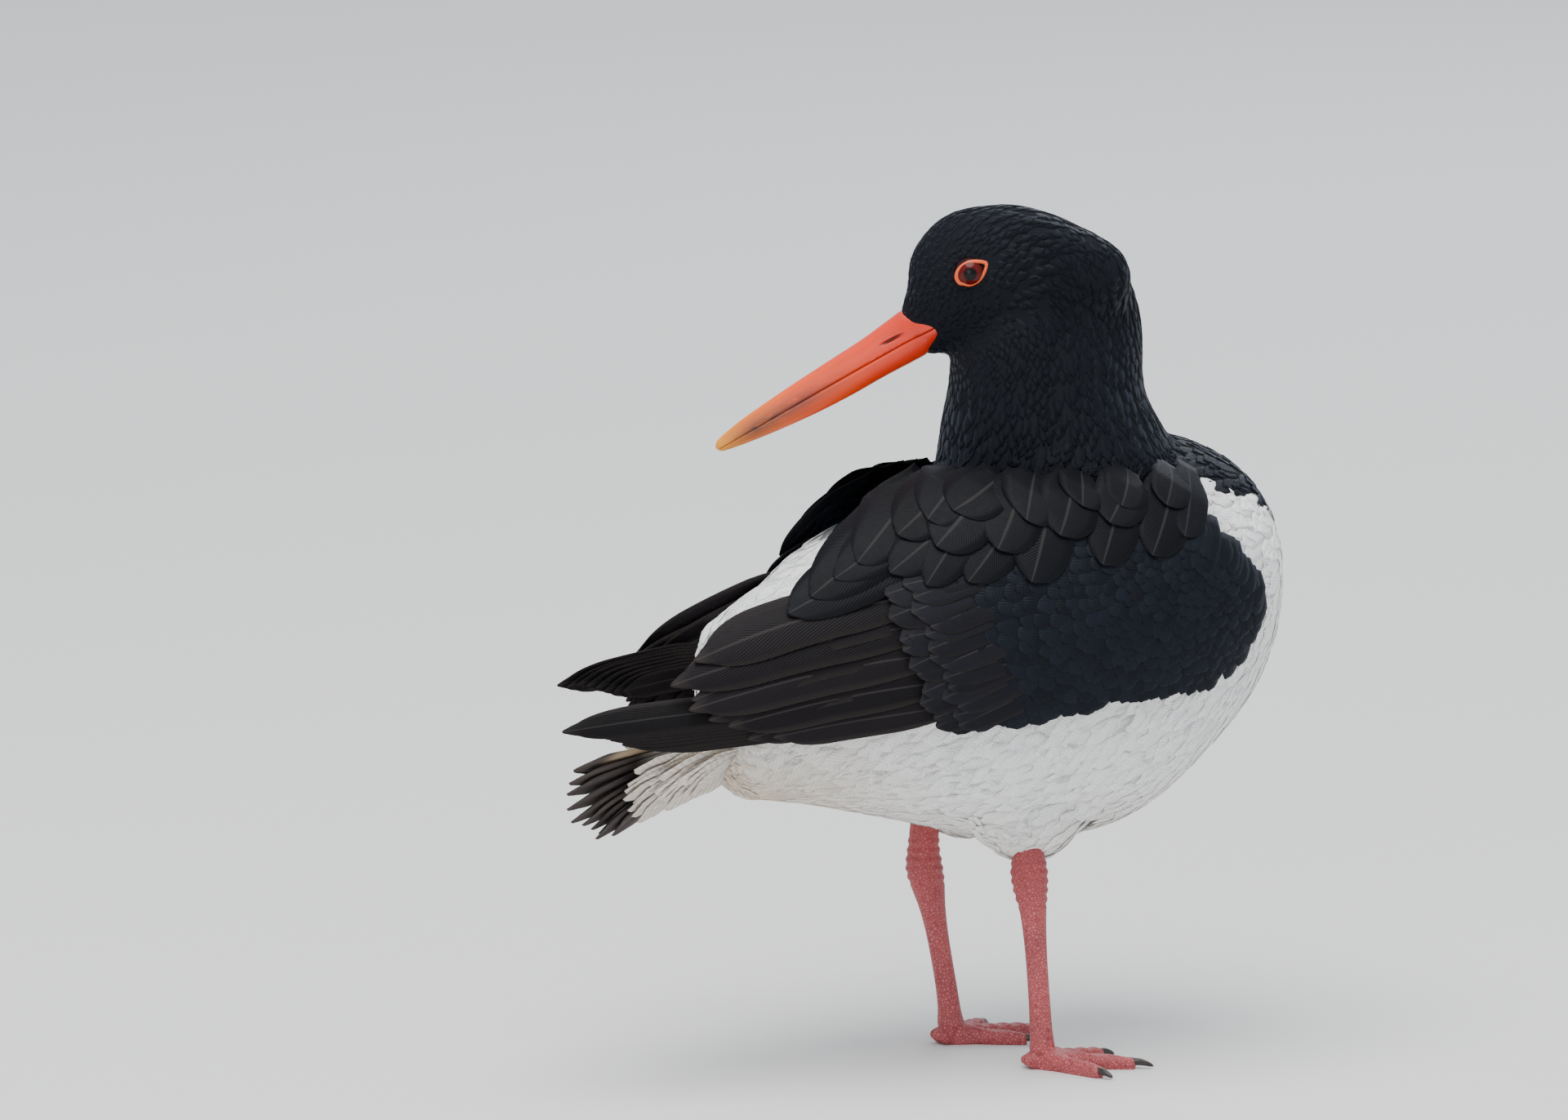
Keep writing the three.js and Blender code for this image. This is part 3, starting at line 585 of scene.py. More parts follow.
def vane_material(name, roughness, sheen, barb, gloss_tint=(1, 1, 1), soft=0.0, quill_glint=0.0):
    """A feather's web: colour from its attribute, slanting barbs, soft mottling and, where asked, a pale
    line along the quill that is a painted highlight.
    """
    material, nodes, shader = new_material(name, {
        "Roughness": roughness, "Specular IOR Level": 0.1, "Sheen Weight": sheen, "Sheen Roughness": 0.35,
        "Sheen Tint": (*gloss_tint, 1), "Subsurface Weight": soft,
        "Subsurface Radius": (0.004, 0.0037, 0.0034)})
    pattern = add_node(nodes, "ShaderNodeAttribute", attribute_name="Plumage").outputs["Color"]
    own = add_node(nodes, "ShaderNodeUVMap", uv_map="Vane").outputs["UV"]
    split = add_node(nodes, "ShaderNodeSeparateXYZ", {"Vector": own})
    off_quill = maths(nodes, "ABSOLUTE", maths(nodes, "SUBTRACT", split.outputs["X"], 0.5))
    slant = maths(nodes, "MULTIPLY_ADD", off_quill, -0.55, split.outputs["Y"])
    wave = maths(nodes, "SINE", maths(nodes, "MULTIPLY", slant, barb))
    ridge = maths(nodes, "MULTIPLY", wave, noise_at(nodes, object_place(nodes), 420, 3))
    web = blend(nodes, 1, pattern, ranged(nodes, ridge, -0.6, 0.6, 0.82, 1.15), "MULTIPLY")
    if quill_glint:
        # Painted highlight: a pale glint line along the middle of the web.
        web = blend(nodes, ranged(nodes, off_quill, 0.012, 0.034, quill_glint, 0), web, (0.16, 0.14, 0.13, 1))
    link(web, shader.inputs["Base Color"])
    link(bump_on(nodes, ridge, 0.35, 0.0002), shader.inputs["Normal"])
    return material


def dress(name, roots, normals, lengths, halves, lift, form, material, cup, ragged, shade, tip=0.18,
          spread=0.16, root_shade=0.8):
    """Makes one coat piece of feathers at these roots."""
    ways = lie(roots, normals)
    ways = unit(ways + np.cross(normals, ways) * random.normal(0, spread, len(roots))[:, None])
    points = bent_feathers(form, roots, normals, ways, lengths, halves, lift, cup, tip, ragged)
    tone = 1 + random.uniform(-shade, shade, len(roots))
    base = plumage(roots + ways * lengths[:, None] * 0.3)
    v = form[0][None, :, 1:2]
    colours = base[:, None] * tone[:, None, None] * (root_shade + (1 - root_shade) * v + 0.1 * v ** 4)
    finish_piece(joined_mesh(name, form, points, colours, bake_place(roots)), material)


black_vane = vane_material("black_web", 0.52, 0.06, 60, (0.45, 0.6, 1.0))
white_vane = vane_material("white_web", 0.7, 0.1, 70, soft=0.5)
small_form = feather_form(2, 3)
coat_form = feather_form(4, 4)

roots, normals = scatter(head_spacing, lambda p: (p[:, 2] > 201) & off_face(p), 3)
gaps = head_spacing(roots)
lengths = (gaps - 0.75) * 5.6 * random.uniform(0.85, 1.2, len(roots))
on_head = roots[:, 2] > NECK_TOP
for name, chosen in (("feathers_head", on_head), ("feathers_neck", ~on_head)):
    dress(name, roots[chosen], normals[chosen], lengths[chosen], (gaps * 0.75)[chosen],
          (0.02 + 0.01 * lengths)[chosen], small_form, black_vane, cup=0.03, tip=0.2, shade=0.12, ragged=0.8)

roots, normals = scatter(trunk_spacing, lambda p: (p[:, 2] <= COAT_TOP) & ~under_wing(p), 5)
gaps = trunk_spacing(roots)
lengths = gaps * 4.3 * random.uniform(0.85, 1.2, len(roots))
dark = plumage(roots)[:, 0] < 0.3
dress("feathers_mantle", roots[dark], normals[dark], lengths[dark], (gaps * 0.95)[dark] * 0.9,
      0.08 + 0.012 * lengths[dark], coat_form, black_vane, cup=0.06, shade=0.2, ragged=0.5)
fluffy = 1 + 0.35 * smooth(-roots[:, 0], 30, 100)
fore = roots[:, 0] > 10
for name, chosen in (("feathers_breast", ~dark & fore), ("feathers_belly", ~dark & ~fore)):
    dress(name, roots[chosen], normals[chosen], (lengths * fluffy)[chosen], (gaps * 0.95 * 1.15)[chosen],
          (0.1 + 0.01 * lengths)[chosen], coat_form, white_vane, cup=0.05, ragged=1.0, shade=0.03,
          spread=0.2, root_shade=0.93)

# The folded wings: long quill feathers under rows of coverts, with the big shoulder feathers over all.
# Each is a stiff web on a raised quill, rooted in the wing and lying on the next like a roof tile.
CAMERA_AZIMUTH = math.radians(-25)
CAMERA_HEIGHT = math.radians(10)
MM_PER_PIXEL = 0.26
BODY_COLUMN = 1240
FLOOR_ROW = 1288
PRIMARIES = 8
GREATER_COVERTS = 15
TIP_WIDTH = 0.15
# Root and tip seen from the side, half width and bow of each of the longest inner feathers.
TERTIALS = [
    ([-44, 160], [-126, 141], 7.5, 3), ([-42, 151], [-134, 133.5], 7.5, 3),
    ([-41, 142], [-129, 126.5], 7, 2.5), ([-40, 133], [-117, 120.5], 6.5, 2),
    ([-38, 125], [-103, 116.5], 5.5, 1),
]
# Column and row of each shoulder feather's tip in the picture, its hang, half width, length and height.
SCAPULARS = [
    (962, 752, 31, 8, 60, 0.0), (990, 732, 34, 8, 58, 0.1), (1018, 712, 37, 7.5, 54, 0.2),
    (1045, 690, 38, 6.5, 46, 0.3), (1085, 702, 41, 7, 45, 0.4), (1122, 718, 46, 8, 42, 0.5),
    (1188, 722, 60, 8.5, 36, 0.3), (1257, 716, 74, 10, 34, 0.6), (1336, 693, 72, 9, 30, 0.4),
    (1397, 684, 66, 8.5, 28, 0.3), (1440, 655, 58, 6.5, 22, 0.1), (1092, 662, 38, 7, 42, 0.8),
    (1140, 672, 44, 8.5, 40, 1.0), (1215, 674, 60, 9, 32, 0.9), (1290, 664, 72, 9, 28, 1.0),
    (1360, 652, 68, 8, 26, 0.9), (1420, 630, 60, 7, 22, 0.6), (1132, 638, 38, 6.5, 34, 1.2),
    (1175, 640, 46, 7.5, 30, 1.2), (1245, 636, 60, 8, 26, 1.1), (1315, 628, 66, 7.5, 24, 1.0),
    (1375, 622, 62, 7, 20, 0.8),
]
LEFT_SCAPULARS_FROM = 1080
SCAPULAR_TOP = 193
COVERT = np.array([0.0045, 0.0062, 0.0100])
FLIGHT = np.array([0.0058, 0.0045, 0.0056])
PALE_EDGE = np.array([0.055, 0.045, 0.040])
SHEET_STEPS = np.arange(400)
sheet_table = section_at(WING_SHEET, np.linspace(0, 1, len(SHEET_STEPS)))


def sheet_height(x, z):
    """How far the wing's surface stands out from the bird's middle at a place seen from the side."""
    back = np.interp(-x, -sheet_table[:, 0], SHEET_STEPS)
    middle, half, tall = (np.interp(back, SHEET_STEPS, sheet_table[:, k]) for k in (2, 3, 4))
    rise = (z - middle) / tall
    return half * np.sqrt(np.maximum(0.06, 1 - rise * rise))


def sheet_point(x, z, side, above):
    y = sheet_height(x, z)
    slope_x = sheet_height(x + 0.5, z) - sheet_height(x - 0.5, z)
    slope_z = sheet_height(x, z + 0.5) - sheet_height(x, z - 0.5)
    normal = unit(np.stack([-slope_x, np.ones_like(y), -slope_z], axis=-1))
    point = np.stack([x, y, z], axis=-1) + normal * above[..., None]
    return point * np.array([1, side, 1])


def settled(place, side):
    """The left wing lies lower, and its rear further forward, than the right one."""
    if side < 0:
        return place
    x, z = place
    back = max(0.0, min(1.0, (-x - 30) / 90))
    return x + 10 * back, z - LEFT_WING_DROP - 5 * back


def wing_feather(form, side, root, end, half, lift, tilt, pull, deep=1.6, base=0.0, bow=0.0, thin=0.25,
                 round_tip=0.03, quill=0.3, wave=0.0, full=0.72):
    """Points of one wing feather between two places seen from the side."""
    places, _ = form
    root, end = np.array(root, dtype=float), np.array(end, dtype=float)
    run = end - root
    upward = np.array([-run[1], run[0]]) / np.linalg.norm(run)
    if upward[1] < 0:
        upward = -upward
    u, v, w = places.T
    edge = np.abs(u)
    share = v - round_tip * edge ** 2 * v ** 4
    closing = np.maximum(0, (v - full) / (1.01 - full)) ** 2
    taper = np.sqrt(np.maximum(0.05, 1 - closing * (1 - TIP_WIDTH ** 2)))
    wide = half * (0.45 + 0.55 * smooth(v, 0, 0.4)) * taper
    across = u * wide + pull * v * v
    swing = across + bow * 4 * share * (1 - share)
    x = root[0] + run[0] * share + upward[0] * swing
    z = root[1] + run[1] * share + upward[1] * swing
    climb = np.minimum(1, share / 0.45)
    height = base - deep + (deep + lift) * (0.55 * climb + 0.45 * share)
    crest = quill * np.exp(-(u * wide / 0.9) ** 2) * (1 - 0.6 * v) + 0.05 * half * (1 - u * u) * climb
    height = height - across * tilt * climb + crest + w * thin + wave * np.sin(9 * v + 3 * u) * edge * climb
    return sheet_point(x, z, side, height)


def web_colours(form, base, tone, edge_mix):
    """Base colour with a worn paler edge and tip."""
    u, v = form[0][:, 0], form[0][:, 1]
    rim = (np.clip((np.abs(u) - 0.8) / 0.2, 0, 1) ** 2 + np.clip((v - 0.93) / 0.07, 0, 1)) * edge_mix
    colour = base * tone * (0.8 + 0.35 * v[:, None])
    return colour * (1 - rim[:, None]) + PALE_EDGE * rim[:, None]


def primaries(side):
    """The longest quills, whose dark tips show behind the rest of the folded wing."""
    reach, rise = (19, 3) if side > 0 else (0, -3)
    for share in np.arange(PRIMARIES) / (PRIMARIES - 1):
        tone = random.uniform(0.75, 1.15)
        root = [-80, 129 - 8 * share + rise * 0.3]
        end = [-167 + 26 * share + reach, 123.5 - 7 * share + rise]
        points = wing_feather(long_form, side, root, end, 5.2 - 0.8 * share, lift=-1.7, tilt=0.3, base=-1.0,
                              deep=1.2, bow=1, round_tip=0.05, pull=random.normal(0, 0.5))
        yield points, web_colours(long_form, FLIGHT * 0.8, tone, 0.25)


def tertials(side):
    """Broad inner feathers in pairs, one tucked under the other. The lowest has none under it."""
    for root, end, half, bow in TERTIALS:
        for tucked in range(1 if root == TERTIALS[-1][0] else 2):
            tone = random.uniform(0.85, 1.25)
            points = wing_feather(
                long_form, side, settled([root[0] - 1.5 * tucked, root[1] - 4.6 * tucked], side),
                settled([end[0] + 6 * tucked, end[1] - 3.6 * tucked], side), half * (1 - 0.14 * tucked),
                lift=1.3 - 0.5 * tucked, tilt=0.15, bow=bow, round_tip=0.06, quill=0.15, wave=0.12,
                pull=random.normal(0, 0.6))
            yield points, web_colours(long_form, FLIGHT * 1.15, tone, 0.4)


def greater_coverts(side):
    """Two rows of coverts over the roots of the long feathers."""
    for inner in (0, 1):
        for i in range(GREATER_COVERTS):
            share = i / (GREATER_COVERTS - 1) + 0.035 * inner
            x = -67 + 13 * share + 7 * inner + random.normal(0, 1.2)
            z = 160 - 42 * share + 2 * inner + random.normal(0, 0.6)
            slope = 0.30 + 0.10 * share + random.normal(0, 0.05)
            points = wing_feather(
                long_form, side, settled([x + 33, z + 33 * slope], side), settled([x, z], side), 5.0,
                lift=1.5 + 0.4 * inner, tilt=0.1, deep=1.8, quill=0.06, wave=0.1, pull=random.normal(0, 0.6))
            yield points, web_colours(long_form, (FLIGHT + COVERT) * 0.6, random.uniform(0.8, 1.2), 0.2)


def covert_gap(x):
    return 4.3 - 1.3 * smooth(x, -40, 50)


def covert_places(seed):
    pick = np.random.default_rng(seed)
    tries = np.column_stack([pick.uniform(-50, 62, 14000), pick.uniform(112, 184, 14000)])
    inside = outline_distance(tries[:, 0], tries[:, 1], WING_OUTLINE) < -1.0
    tries = tries[inside & (tries[:, 1] < 176 + 8 * smooth(tries[:, 0], 30, 50))]
    kept = []
    for x, z in tries:
        gap = covert_gap(x) * 0.86
        if all((x - other[0]) ** 2 + (z - other[1]) ** 2 > gap * gap for other in kept):
            kept.append((x, z))
    return kept


def small_coverts(side):
    """Lesser and median coverts, lying along the wing behind and hanging more steeply toward its bend."""
    for x, z in covert_places(7):
        hang = math.radians(22) + math.radians(46) * float(smooth(x, -55, 45)) - 0.004 * (z - 145)
        hang = hang + random.normal(0, 0.07)
        gap = covert_gap(x)
        length = gap * 4.4 * random.uniform(0.85, 1.15)
        start = [x + length * math.cos(hang), z + length * math.sin(hang)]
        points = wing_feather(
            covert_form, side, settled(start, side), settled([x, z], side), gap, lift=1.4, tilt=0.03,
            thin=0.1, quill=0.0, round_tip=0.04, deep=0.8, wave=0.06, pull=random.normal(0, 0.3))
        yield points, web_colours(covert_form, COVERT, random.uniform(0.75, 1.3), 0.05)


def seen_place(column, row):
    """The place on the wing that the long lens sees at this column and row of the framed picture."""
    across, high = (column - BODY_COLUMN) * MM_PER_PIXEL, (FLOOR_ROW - row) * MM_PER_PIXEL
    turn_sine, turn_cosine = math.sin(CAMERA_AZIMUTH), math.cos(CAMERA_AZIMUTH)
    x, z = across, high
    for _ in range(8):
        y = float(sheet_height(np.array([x]), np.array([z]))[0])
        x = (across + turn_sine * y) / turn_cosine
        z = (high + math.sin(CAMERA_HEIGHT) * (turn_cosine * y + turn_sine * x)) / math.cos(CAMERA_HEIGHT)
    return x, z


def scapulars(side):
    """Shoulder feathers, placed one by one. The left wing has fewer toward the rear."""
    for column, row, hang, half, length, base in SCAPULARS:
        if side > 0 and column < LEFT_SCAPULARS_FROM:
            continue
        x, z = seen_place(column + random.normal(0, 3), row + random.normal(0, 3))
        hang = math.radians(hang * 0.86) + random.normal(0, 0.07)
        length = min(length * 1.12, (SCAPULAR_TOP - z) / math.sin(hang))
        start = [x + length * math.cos(hang), z + length * math.sin(hang)]
        half = half * random.uniform(0.86, 1.0)
        points = wing_feather(
            long_form, side, settled(start, side), settled([x, z], side), half, lift=1.7, tilt=0.02,
            base=base, thin=0.12, quill=0.02, wave=0.05, pull=random.normal(0, 0.9), full=0.6)
        yield points, web_colours(long_form, COVERT * 0.45 + FLIGHT * 0.2, random.uniform(0.75, 1.15), 0.05)


def feather_piece(name, form, feathers, material, replaced=()):
    """Joins feathers, each given as its points and its colours, into one piece."""
    points = np.array([feather[0] for feather in feathers])
    colours = np.array([feather[1] for feather in feathers])
    finish_piece(joined_mesh(name, form, points, colours, bake_place(points[:, 0])), material, replaced)


long_form = feather_form(6, 18, 1.5)
covert_form = feather_form(4, 6, 1.4)
wing_web = vane_material("wing_web", 0.5, 0.02, 230, (0.6, 0.7, 0.95), quill_glint=0.12)
covert_web = vane_material("covert_web", 0.5, 0.05, 90, (0.5, 0.66, 1.0))
for side, side_name in ((-1, "right"), (1, "left")):
    quills = [*primaries(side), *tertials(side), *greater_coverts(side)]
    coverts = list(small_coverts(side))
    quills += scapulars(side)
    wing = "wing_" + side_name
    feather_piece(wing + "_quills", long_form, quills, wing_web, (wing,))
    feather_piece(wing + "_coverts", covert_form, coverts, covert_web)

# The tail: twelve quills spread as a fan, rolled so that its underside shows, with soft
# coverts above and below their roots. The webs are dark and worn, with pale bases.
TAIL_ROOT = np.array([-103.0, 0.0, 109.0])
TAIL_DROP = math.radians(22)
TAIL_ROLL = math.radians(48)
TAIL_FAN = 27
TAIL_QUILLS = 12
TUFTS = 9
TUFT_FAN = 26
RECTRIX = np.array([0.040, 0.030, 0.027])
RECTRIX_BASE = np.array([0.5, 0.48, 0.46])
# Beige on the white bases of the two outer quills: painted shade warmed by light reflected from the ground.
OUTER_BASE_SHADE_BOUNCE = np.array([0.42, 0.31, 0.20])
# Greyer, warmer white of the lower tail coverts: painted shade with a warm reflection from the ground.
UNDER_COVERT_SHADE = np.array([0.66, 0.60, 0.53])
# Start and length along the tail, height off its middle and half width of each layer of tail coverts.
TUFT_LAYERS = [
    (4, 37, -4.2, 6.2), (4, 28, -4.9, 6.2), (-12, 27, -7.5, 8), (-16, 19, -10, 8.5), (4, 37, 4.6, 6.2),
    (4, 28, 5.2, 6.2),
]
tail_back = np.array([-math.cos(TAIL_DROP), 0, -math.sin(TAIL_DROP)])
tail_up = np.array([-math.sin(TAIL_DROP), 0, math.cos(TAIL_DROP)])
tail_right = np.array([0, -math.cos(TAIL_ROLL), 0]) + tail_up * math.sin(TAIL_ROLL)
tail_face = unit(np.cross(tail_back, tail_right))
if tail_face[2] < 0:
    tail_face = -tail_face


def tail_feather(form, angle, start, length, half, level, droop, bend):
    u, v, w = form[0].T
    way = tail_back * math.cos(angle) + tail_right * math.sin(angle)
    sideways = tail_right * math.cos(angle) - tail_back * math.sin(angle)
    share = v - 0.12 * np.abs(u) ** 2 * v ** 4
    taper = np.sqrt(np.maximum(0.05, 1 - np.maximum(0, (v - 0.8) / 0.21) ** 2 * 0.7))
    wide = half * (0.4 + 0.6 * smooth(v, 0, 0.5)) * taper
    across = u * wide + bend * v * v
    height = level * np.minimum(1, share / 0.3) - across * 0.16 - droop * share ** 2 + w * 0.25
    height = height + 0.35 * np.exp(-(u * wide / 0.8) ** 2)
    run = start + (length - start) * share
    return TAIL_ROOT + way * run[:, None] + sideways * across[:, None] + tail_face * height[:, None]


def tail_fan():
    """The quills, from the low side up. The first two, which show their undersides, are drawn beige further
    along: painted shade on their white bases, warmed by light reflected from the ground.
    """
    along = long_form[0][:, 1]
    for i in range(TAIL_QUILLS):
        share = i / (TAIL_QUILLS - 1)
        angle = math.radians(TAIL_FAN - 2 * TAIL_FAN * share) + random.normal(0, 0.02)
        length = 62 - 15 * share + random.normal(0, 1.5)
        points = tail_feather(long_form, angle, 6, length, 5.6, 1.2 - 2.4 * share, 1, random.normal(0, 1.2))
        web = web_colours(long_form, RECTRIX, random.uniform(0.7, 1.3), 0.5)
        pale = (1 - smooth(along, 0.3, 0.55)) * 0.85
        # On the two outer quills painted shade with a warm ground reflection reaches further along the web.
        if i < 2:
            pale = np.maximum(pale, (1 - smooth(along, 0.7, 0.85)) * 0.7)
        tint = OUTER_BASE_SHADE_BOUNCE if i < 2 else RECTRIX_BASE
        yield points, web * (1 - pale[:, None]) + tint * pale[:, None]


def tail_tufts():
    for start, reach, level, half in TUFT_LAYERS:
        for share in np.arange(TUFTS) / (TUFTS - 1):
            angle = math.radians(TUFT_FAN - 2 * TUFT_FAN * share) + random.normal(0, 0.05)
            length = reach + random.normal(0, 1.5)
            points = tail_feather(covert_form, angle, start, length, half, level, 0, random.normal(0, 1.5))
            # The lower layers are drawn greyer and warmer as painted shade; the upper layers are plain
            # white.
            base = UNDER_COVERT_SHADE if level < 0 else WHITE
            yield points, np.tile(base * random.uniform(0.85, 1.1), (len(points), 1))


feather_piece("tail_quills", long_form, list(tail_fan()), wing_web, ("tail",))
feather_piece("tail_coverts", covert_form, list(tail_tufts()), white_vane)

# Bill: two long horn blades, deep and narrow, meeting at a fine line, with a slit nostril each side.
# The horn is orange-red at the root and yellower at the tip, with grey-brown stains along the bite.
BILL = [
    [23.5, 0, 1.4, 9.8, 4.4, 4.0], [29, 0, 1.4, 9.0, 6.2, 5.4], [33, 0, 1.4, 6.6, 8.8, 6.9],
    [38, 0, 1.4, 5.3, 8.5, 6.9], [48, 0, 1.4, 4.4, 7.4, 6.5], [60, 0, 1.4, 3.4, 6.8, 6.4],
    [72, 0, 1.4, 2.7, 6.2, 5.8], [84, 0, 1.4, 2.2, 5.4, 4.6], [95, 0, 1.5, 1.8, 4.3, 3.2],
    [103, 0, 1.8, 1.5, 2.6, 2], [106, 0, 2, 1.3, 1.4, 1.3],
]
GAPE_HEIGHT = 1.5
BITE_GAP = 0.3
BILL_ROOT, BILL_TIP = 26, 106
NOSTRIL = (40, 4.6)
HORN_COLOURS = [
    (0.0, (0.64, 0.020, 0.002)), (0.3, (0.78, 0.038, 0.002)), (0.62, (0.86, 0.075, 0.002)),
    (0.85, (0.86, 0.17, 0.001)), (1.0, (0.84, 0.33, 0.001)),
]
STAIN_SPREAD = [
    (0.35, (0, 0, 0)), (0.6, (0.75, 0.75, 0.75)), (0.82, (0.9, 0.9, 0.9)), (0.97, (0.15, 0.15, 0.15)),
]
STAIN = (0.045, 0.026, 0.022, 1)
NOSTRIL_SHADE = (0.10, 0.006, 0.004, 1)


def ramp(nodes, value, stops):
    made = add_node(nodes, "ShaderNodeValToRGB", {"Fac": value})
    elements = made.color_ramp.elements
    for element, (position, colour) in ((elements[0], stops[0]), (elements[1], stops[-1])):
        element.position = position
        element.color = (*colour, 1)
    for position, colour in stops[1:-1]:
        elements.new(position).color = (*colour, 1)
    return made.outputs["Color"]


def head_coordinates(nodes):
    """Object coordinates with X along the bill and Z up the crown, in metres from the head's centre."""
    return add_node(nodes, "ShaderNodeMapping", {
        "Vector": object_place(nodes), "Location": metres(HEAD_CENTRE),
        "Rotation": Matrix(head_axes.T.tolist()).to_euler()}, vector_type="TEXTURE").outputs["Vector"]


def vector_maths(nodes, operation, *values):
    return add_node(nodes, "ShaderNodeVectorMath", dict(enumerate(values)), operation=operation).outputs


def horn_material():
    material, nodes, shader = new_material("bill_horn", {
        "Roughness": 0.4, "Coat Weight": 0.15, "Coat Roughness": 0.25})
    local = head_coordinates(nodes)
    split = add_node(nodes, "ShaderNodeSeparateXYZ", {"Vector": local})
    along = ranged(nodes, split.outputs["X"], BILL_ROOT / 1000, BILL_TIP / 1000, 0, 1)
    stretch = add_node(nodes, "ShaderNodeMapping", {"Vector": local, "Scale": (0.35, 1, 1.4)})
    grain = stretch.outputs["Vector"]
    off_bite = maths(nodes, "SUBTRACT", split.outputs["Z"], GAPE_HEIGHT / 1000)
    near_bite = ranged(nodes, maths(nodes, "ABSOLUTE", off_bite), 0.0005, 0.0048, 1, 0)
    blotch = ranged(nodes, noise_at(nodes, grain, 260, 5, 0.65), 0.30, 0.48, 0, 1)
    amount = maths(nodes, "MULTIPLY", near_bite, blotch)
    amount = maths(nodes, "MULTIPLY", amount, ramp(nodes, along, STAIN_SPREAD))
    stained = blend(nodes, amount, ramp(nodes, along, HORN_COLOURS), STAIN)
    off_slit = vector_maths(nodes, "SUBTRACT", local, (NOSTRIL[0] / 1000, 0, NOSTRIL[1] / 1000))["Vector"]
    off_slit = vector_maths(nodes, "MULTIPLY", off_slit, (220, 0, 1500))["Vector"]
    hollow = ranged(nodes, vector_maths(nodes, "LENGTH", off_slit)["Value"], 0.55, 1.15, 0.9, 0)
    shaded = blend(nodes, hollow, stained, NOSTRIL_SHADE)
    colour, noise = mottled(nodes, shaded, grain, 260, 5, 0.86, 1.1, roughness=0.65)
    link(colour, shader.inputs["Base Color"])
    link(bump_on(nodes, noise, 0.25, 0.0002), shader.inputs["Normal"])
    return material


def tidy_normals(form):
    bmesh.ops.remove_doubles(form, verts=form.verts, dist=1e-5)
    bmesh.ops.recalc_face_normals(form, faces=form.faces)


def solid_piece(name, form, material, replaced):
    tidy_normals(form)
    made = new_piece(name, form)
    made.data.shade_smooth()
    finish_piece(made, material, replaced)


def carve_nostrils(form):
    """Sinks a slit in each side of the upper blade, with a slight brow over it."""
    for _ in range(2):
        middles = [(face, face.calc_center_median()) for face in form.faces]
        near = [face for face, middle in middles if 34 < middle.x < 47 and 2.2 < middle.z < 7.5]
        edges = list({edge for face in near for edge in face.edges})
        bmesh.ops.subdivide_edges(form, edges=edges, cuts=1, use_grid_fill=True)
    for vert in form.verts:
        x, y, z = vert.co
        ahead_of, over = x - NOSTRIL[0], z - NOSTRIL[1] - 0.05 * (x - NOSTRIL[0])
        slit = math.exp(-(over / 0.42) ** 2) * max(0.0, 1 - (ahead_of / 4.6) ** 2)
        brow = math.exp(-((over - 1.2) / 0.7) ** 2) * max(0.0, 1 - (ahead_of / 6) ** 2)
        if abs(y) > 0.6:
            vert.co.y = y - math.copysign(1.3 * slit - 0.25 * brow, y)


def bill_blade(name, upper, replaced):
    form = bmesh.new()
    add_loft(form, BILL, 40, 64, (0.05, 0.08), square=2.3)
    tidy_normals(form)
    level = GAPE_HEIGHT + (BITE_GAP / 2 if upper else -BITE_GAP / 2)
    whole = form.verts[:] + form.edges[:] + form.faces[:]
    cut = bmesh.ops.bisect_plane(form, geom=whole, plane_co=(0, 0, level), plane_no=(0, 0, 1),
                                 clear_inner=upper, clear_outer=not upper)
    rim = [item for item in cut["geom_cut"] if isinstance(item, bmesh.types.BMEdge)]
    bmesh.ops.holes_fill(form, edges=rim, sides=0)
    if upper:
        carve_nostrils(form)
    for vert in form.verts:
        vert.co = head_point(np.array(vert.co))
    bmesh.ops.triangulate(form, faces=[f for f in form.faces if len(f.verts) > 4])
    solid_piece(name, form, horn, replaced)


horn = horn_material()
bill_blade("bill_upper_horn", True, ("bill_upper",))
bill_blade("bill_lower_horn", False, ("bill_lower",))

# Eyes: a dark crimson iris round a black pupil under a clear wet cornea, set in a ring of
# bare orange-red skin that draws to a point behind and has a small notch in front.
EYE_RADIUS = 5.2
RING_RADIUS = 4.1
RING_THICKNESS = 0.62
RING_OUT = 3.2
RING_COLOURS = [(0.0, (0.85, 0.13, 0.02)), (1.0, (0.60, 0.05, 0.01))]
IRIS_COLOURS = [
    (0.0, (0.002, 0.002, 0.002)), (0.36, (0.001, 0.001, 0.001)), (0.40, (0.035, 0.002, 0.002)),
    (0.5, (0.11, 0.004, 0.003)), (0.75, (0.07, 0.003, 0.002)), (0.9, (0.01, 0.001, 0.001)),
]


def eye_material(side, name):
    material, nodes, shader = new_material(name, {
        "Roughness": 0.3, "Specular IOR Level": 0.1, "Coat Weight": 0.25, "Coat Roughness": 0.02})
    local = head_coordinates(nodes)
    middle = (EYE_PLACE[0] / 1000, side * EYE_PLACE[1] / 1000, EYE_PLACE[2] / 1000)
    off_middle = vector_maths(nodes, "SUBTRACT", local, middle)["Vector"]
    flat = vector_maths(nodes, "MULTIPLY", off_middle, (200, 0, 200))["Vector"]
    out = vector_maths(nodes, "LENGTH", flat)["Value"]
    colour, _ = mottled(nodes, ramp(nodes, out, IRIS_COLOURS), local, 1800, 2, 0.6, 1.3)
    link(colour, shader.inputs["Base Color"])
    return material


def ring_material():
    material, nodes, shader = new_material("eye_ring_skin", {"Roughness": 0.45})
    pimples = add_node(nodes, "ShaderNodeTexVoronoi", {"Vector": object_place(nodes), "Scale": 2600})
    cells = pimples.outputs["Distance"]
    link(ramp(nodes, cells, RING_COLOURS), shader.inputs["Base Color"])
    link(bump_on(nodes, cells, 0.5, 0.0001), shader.inputs["Normal"])
    return material


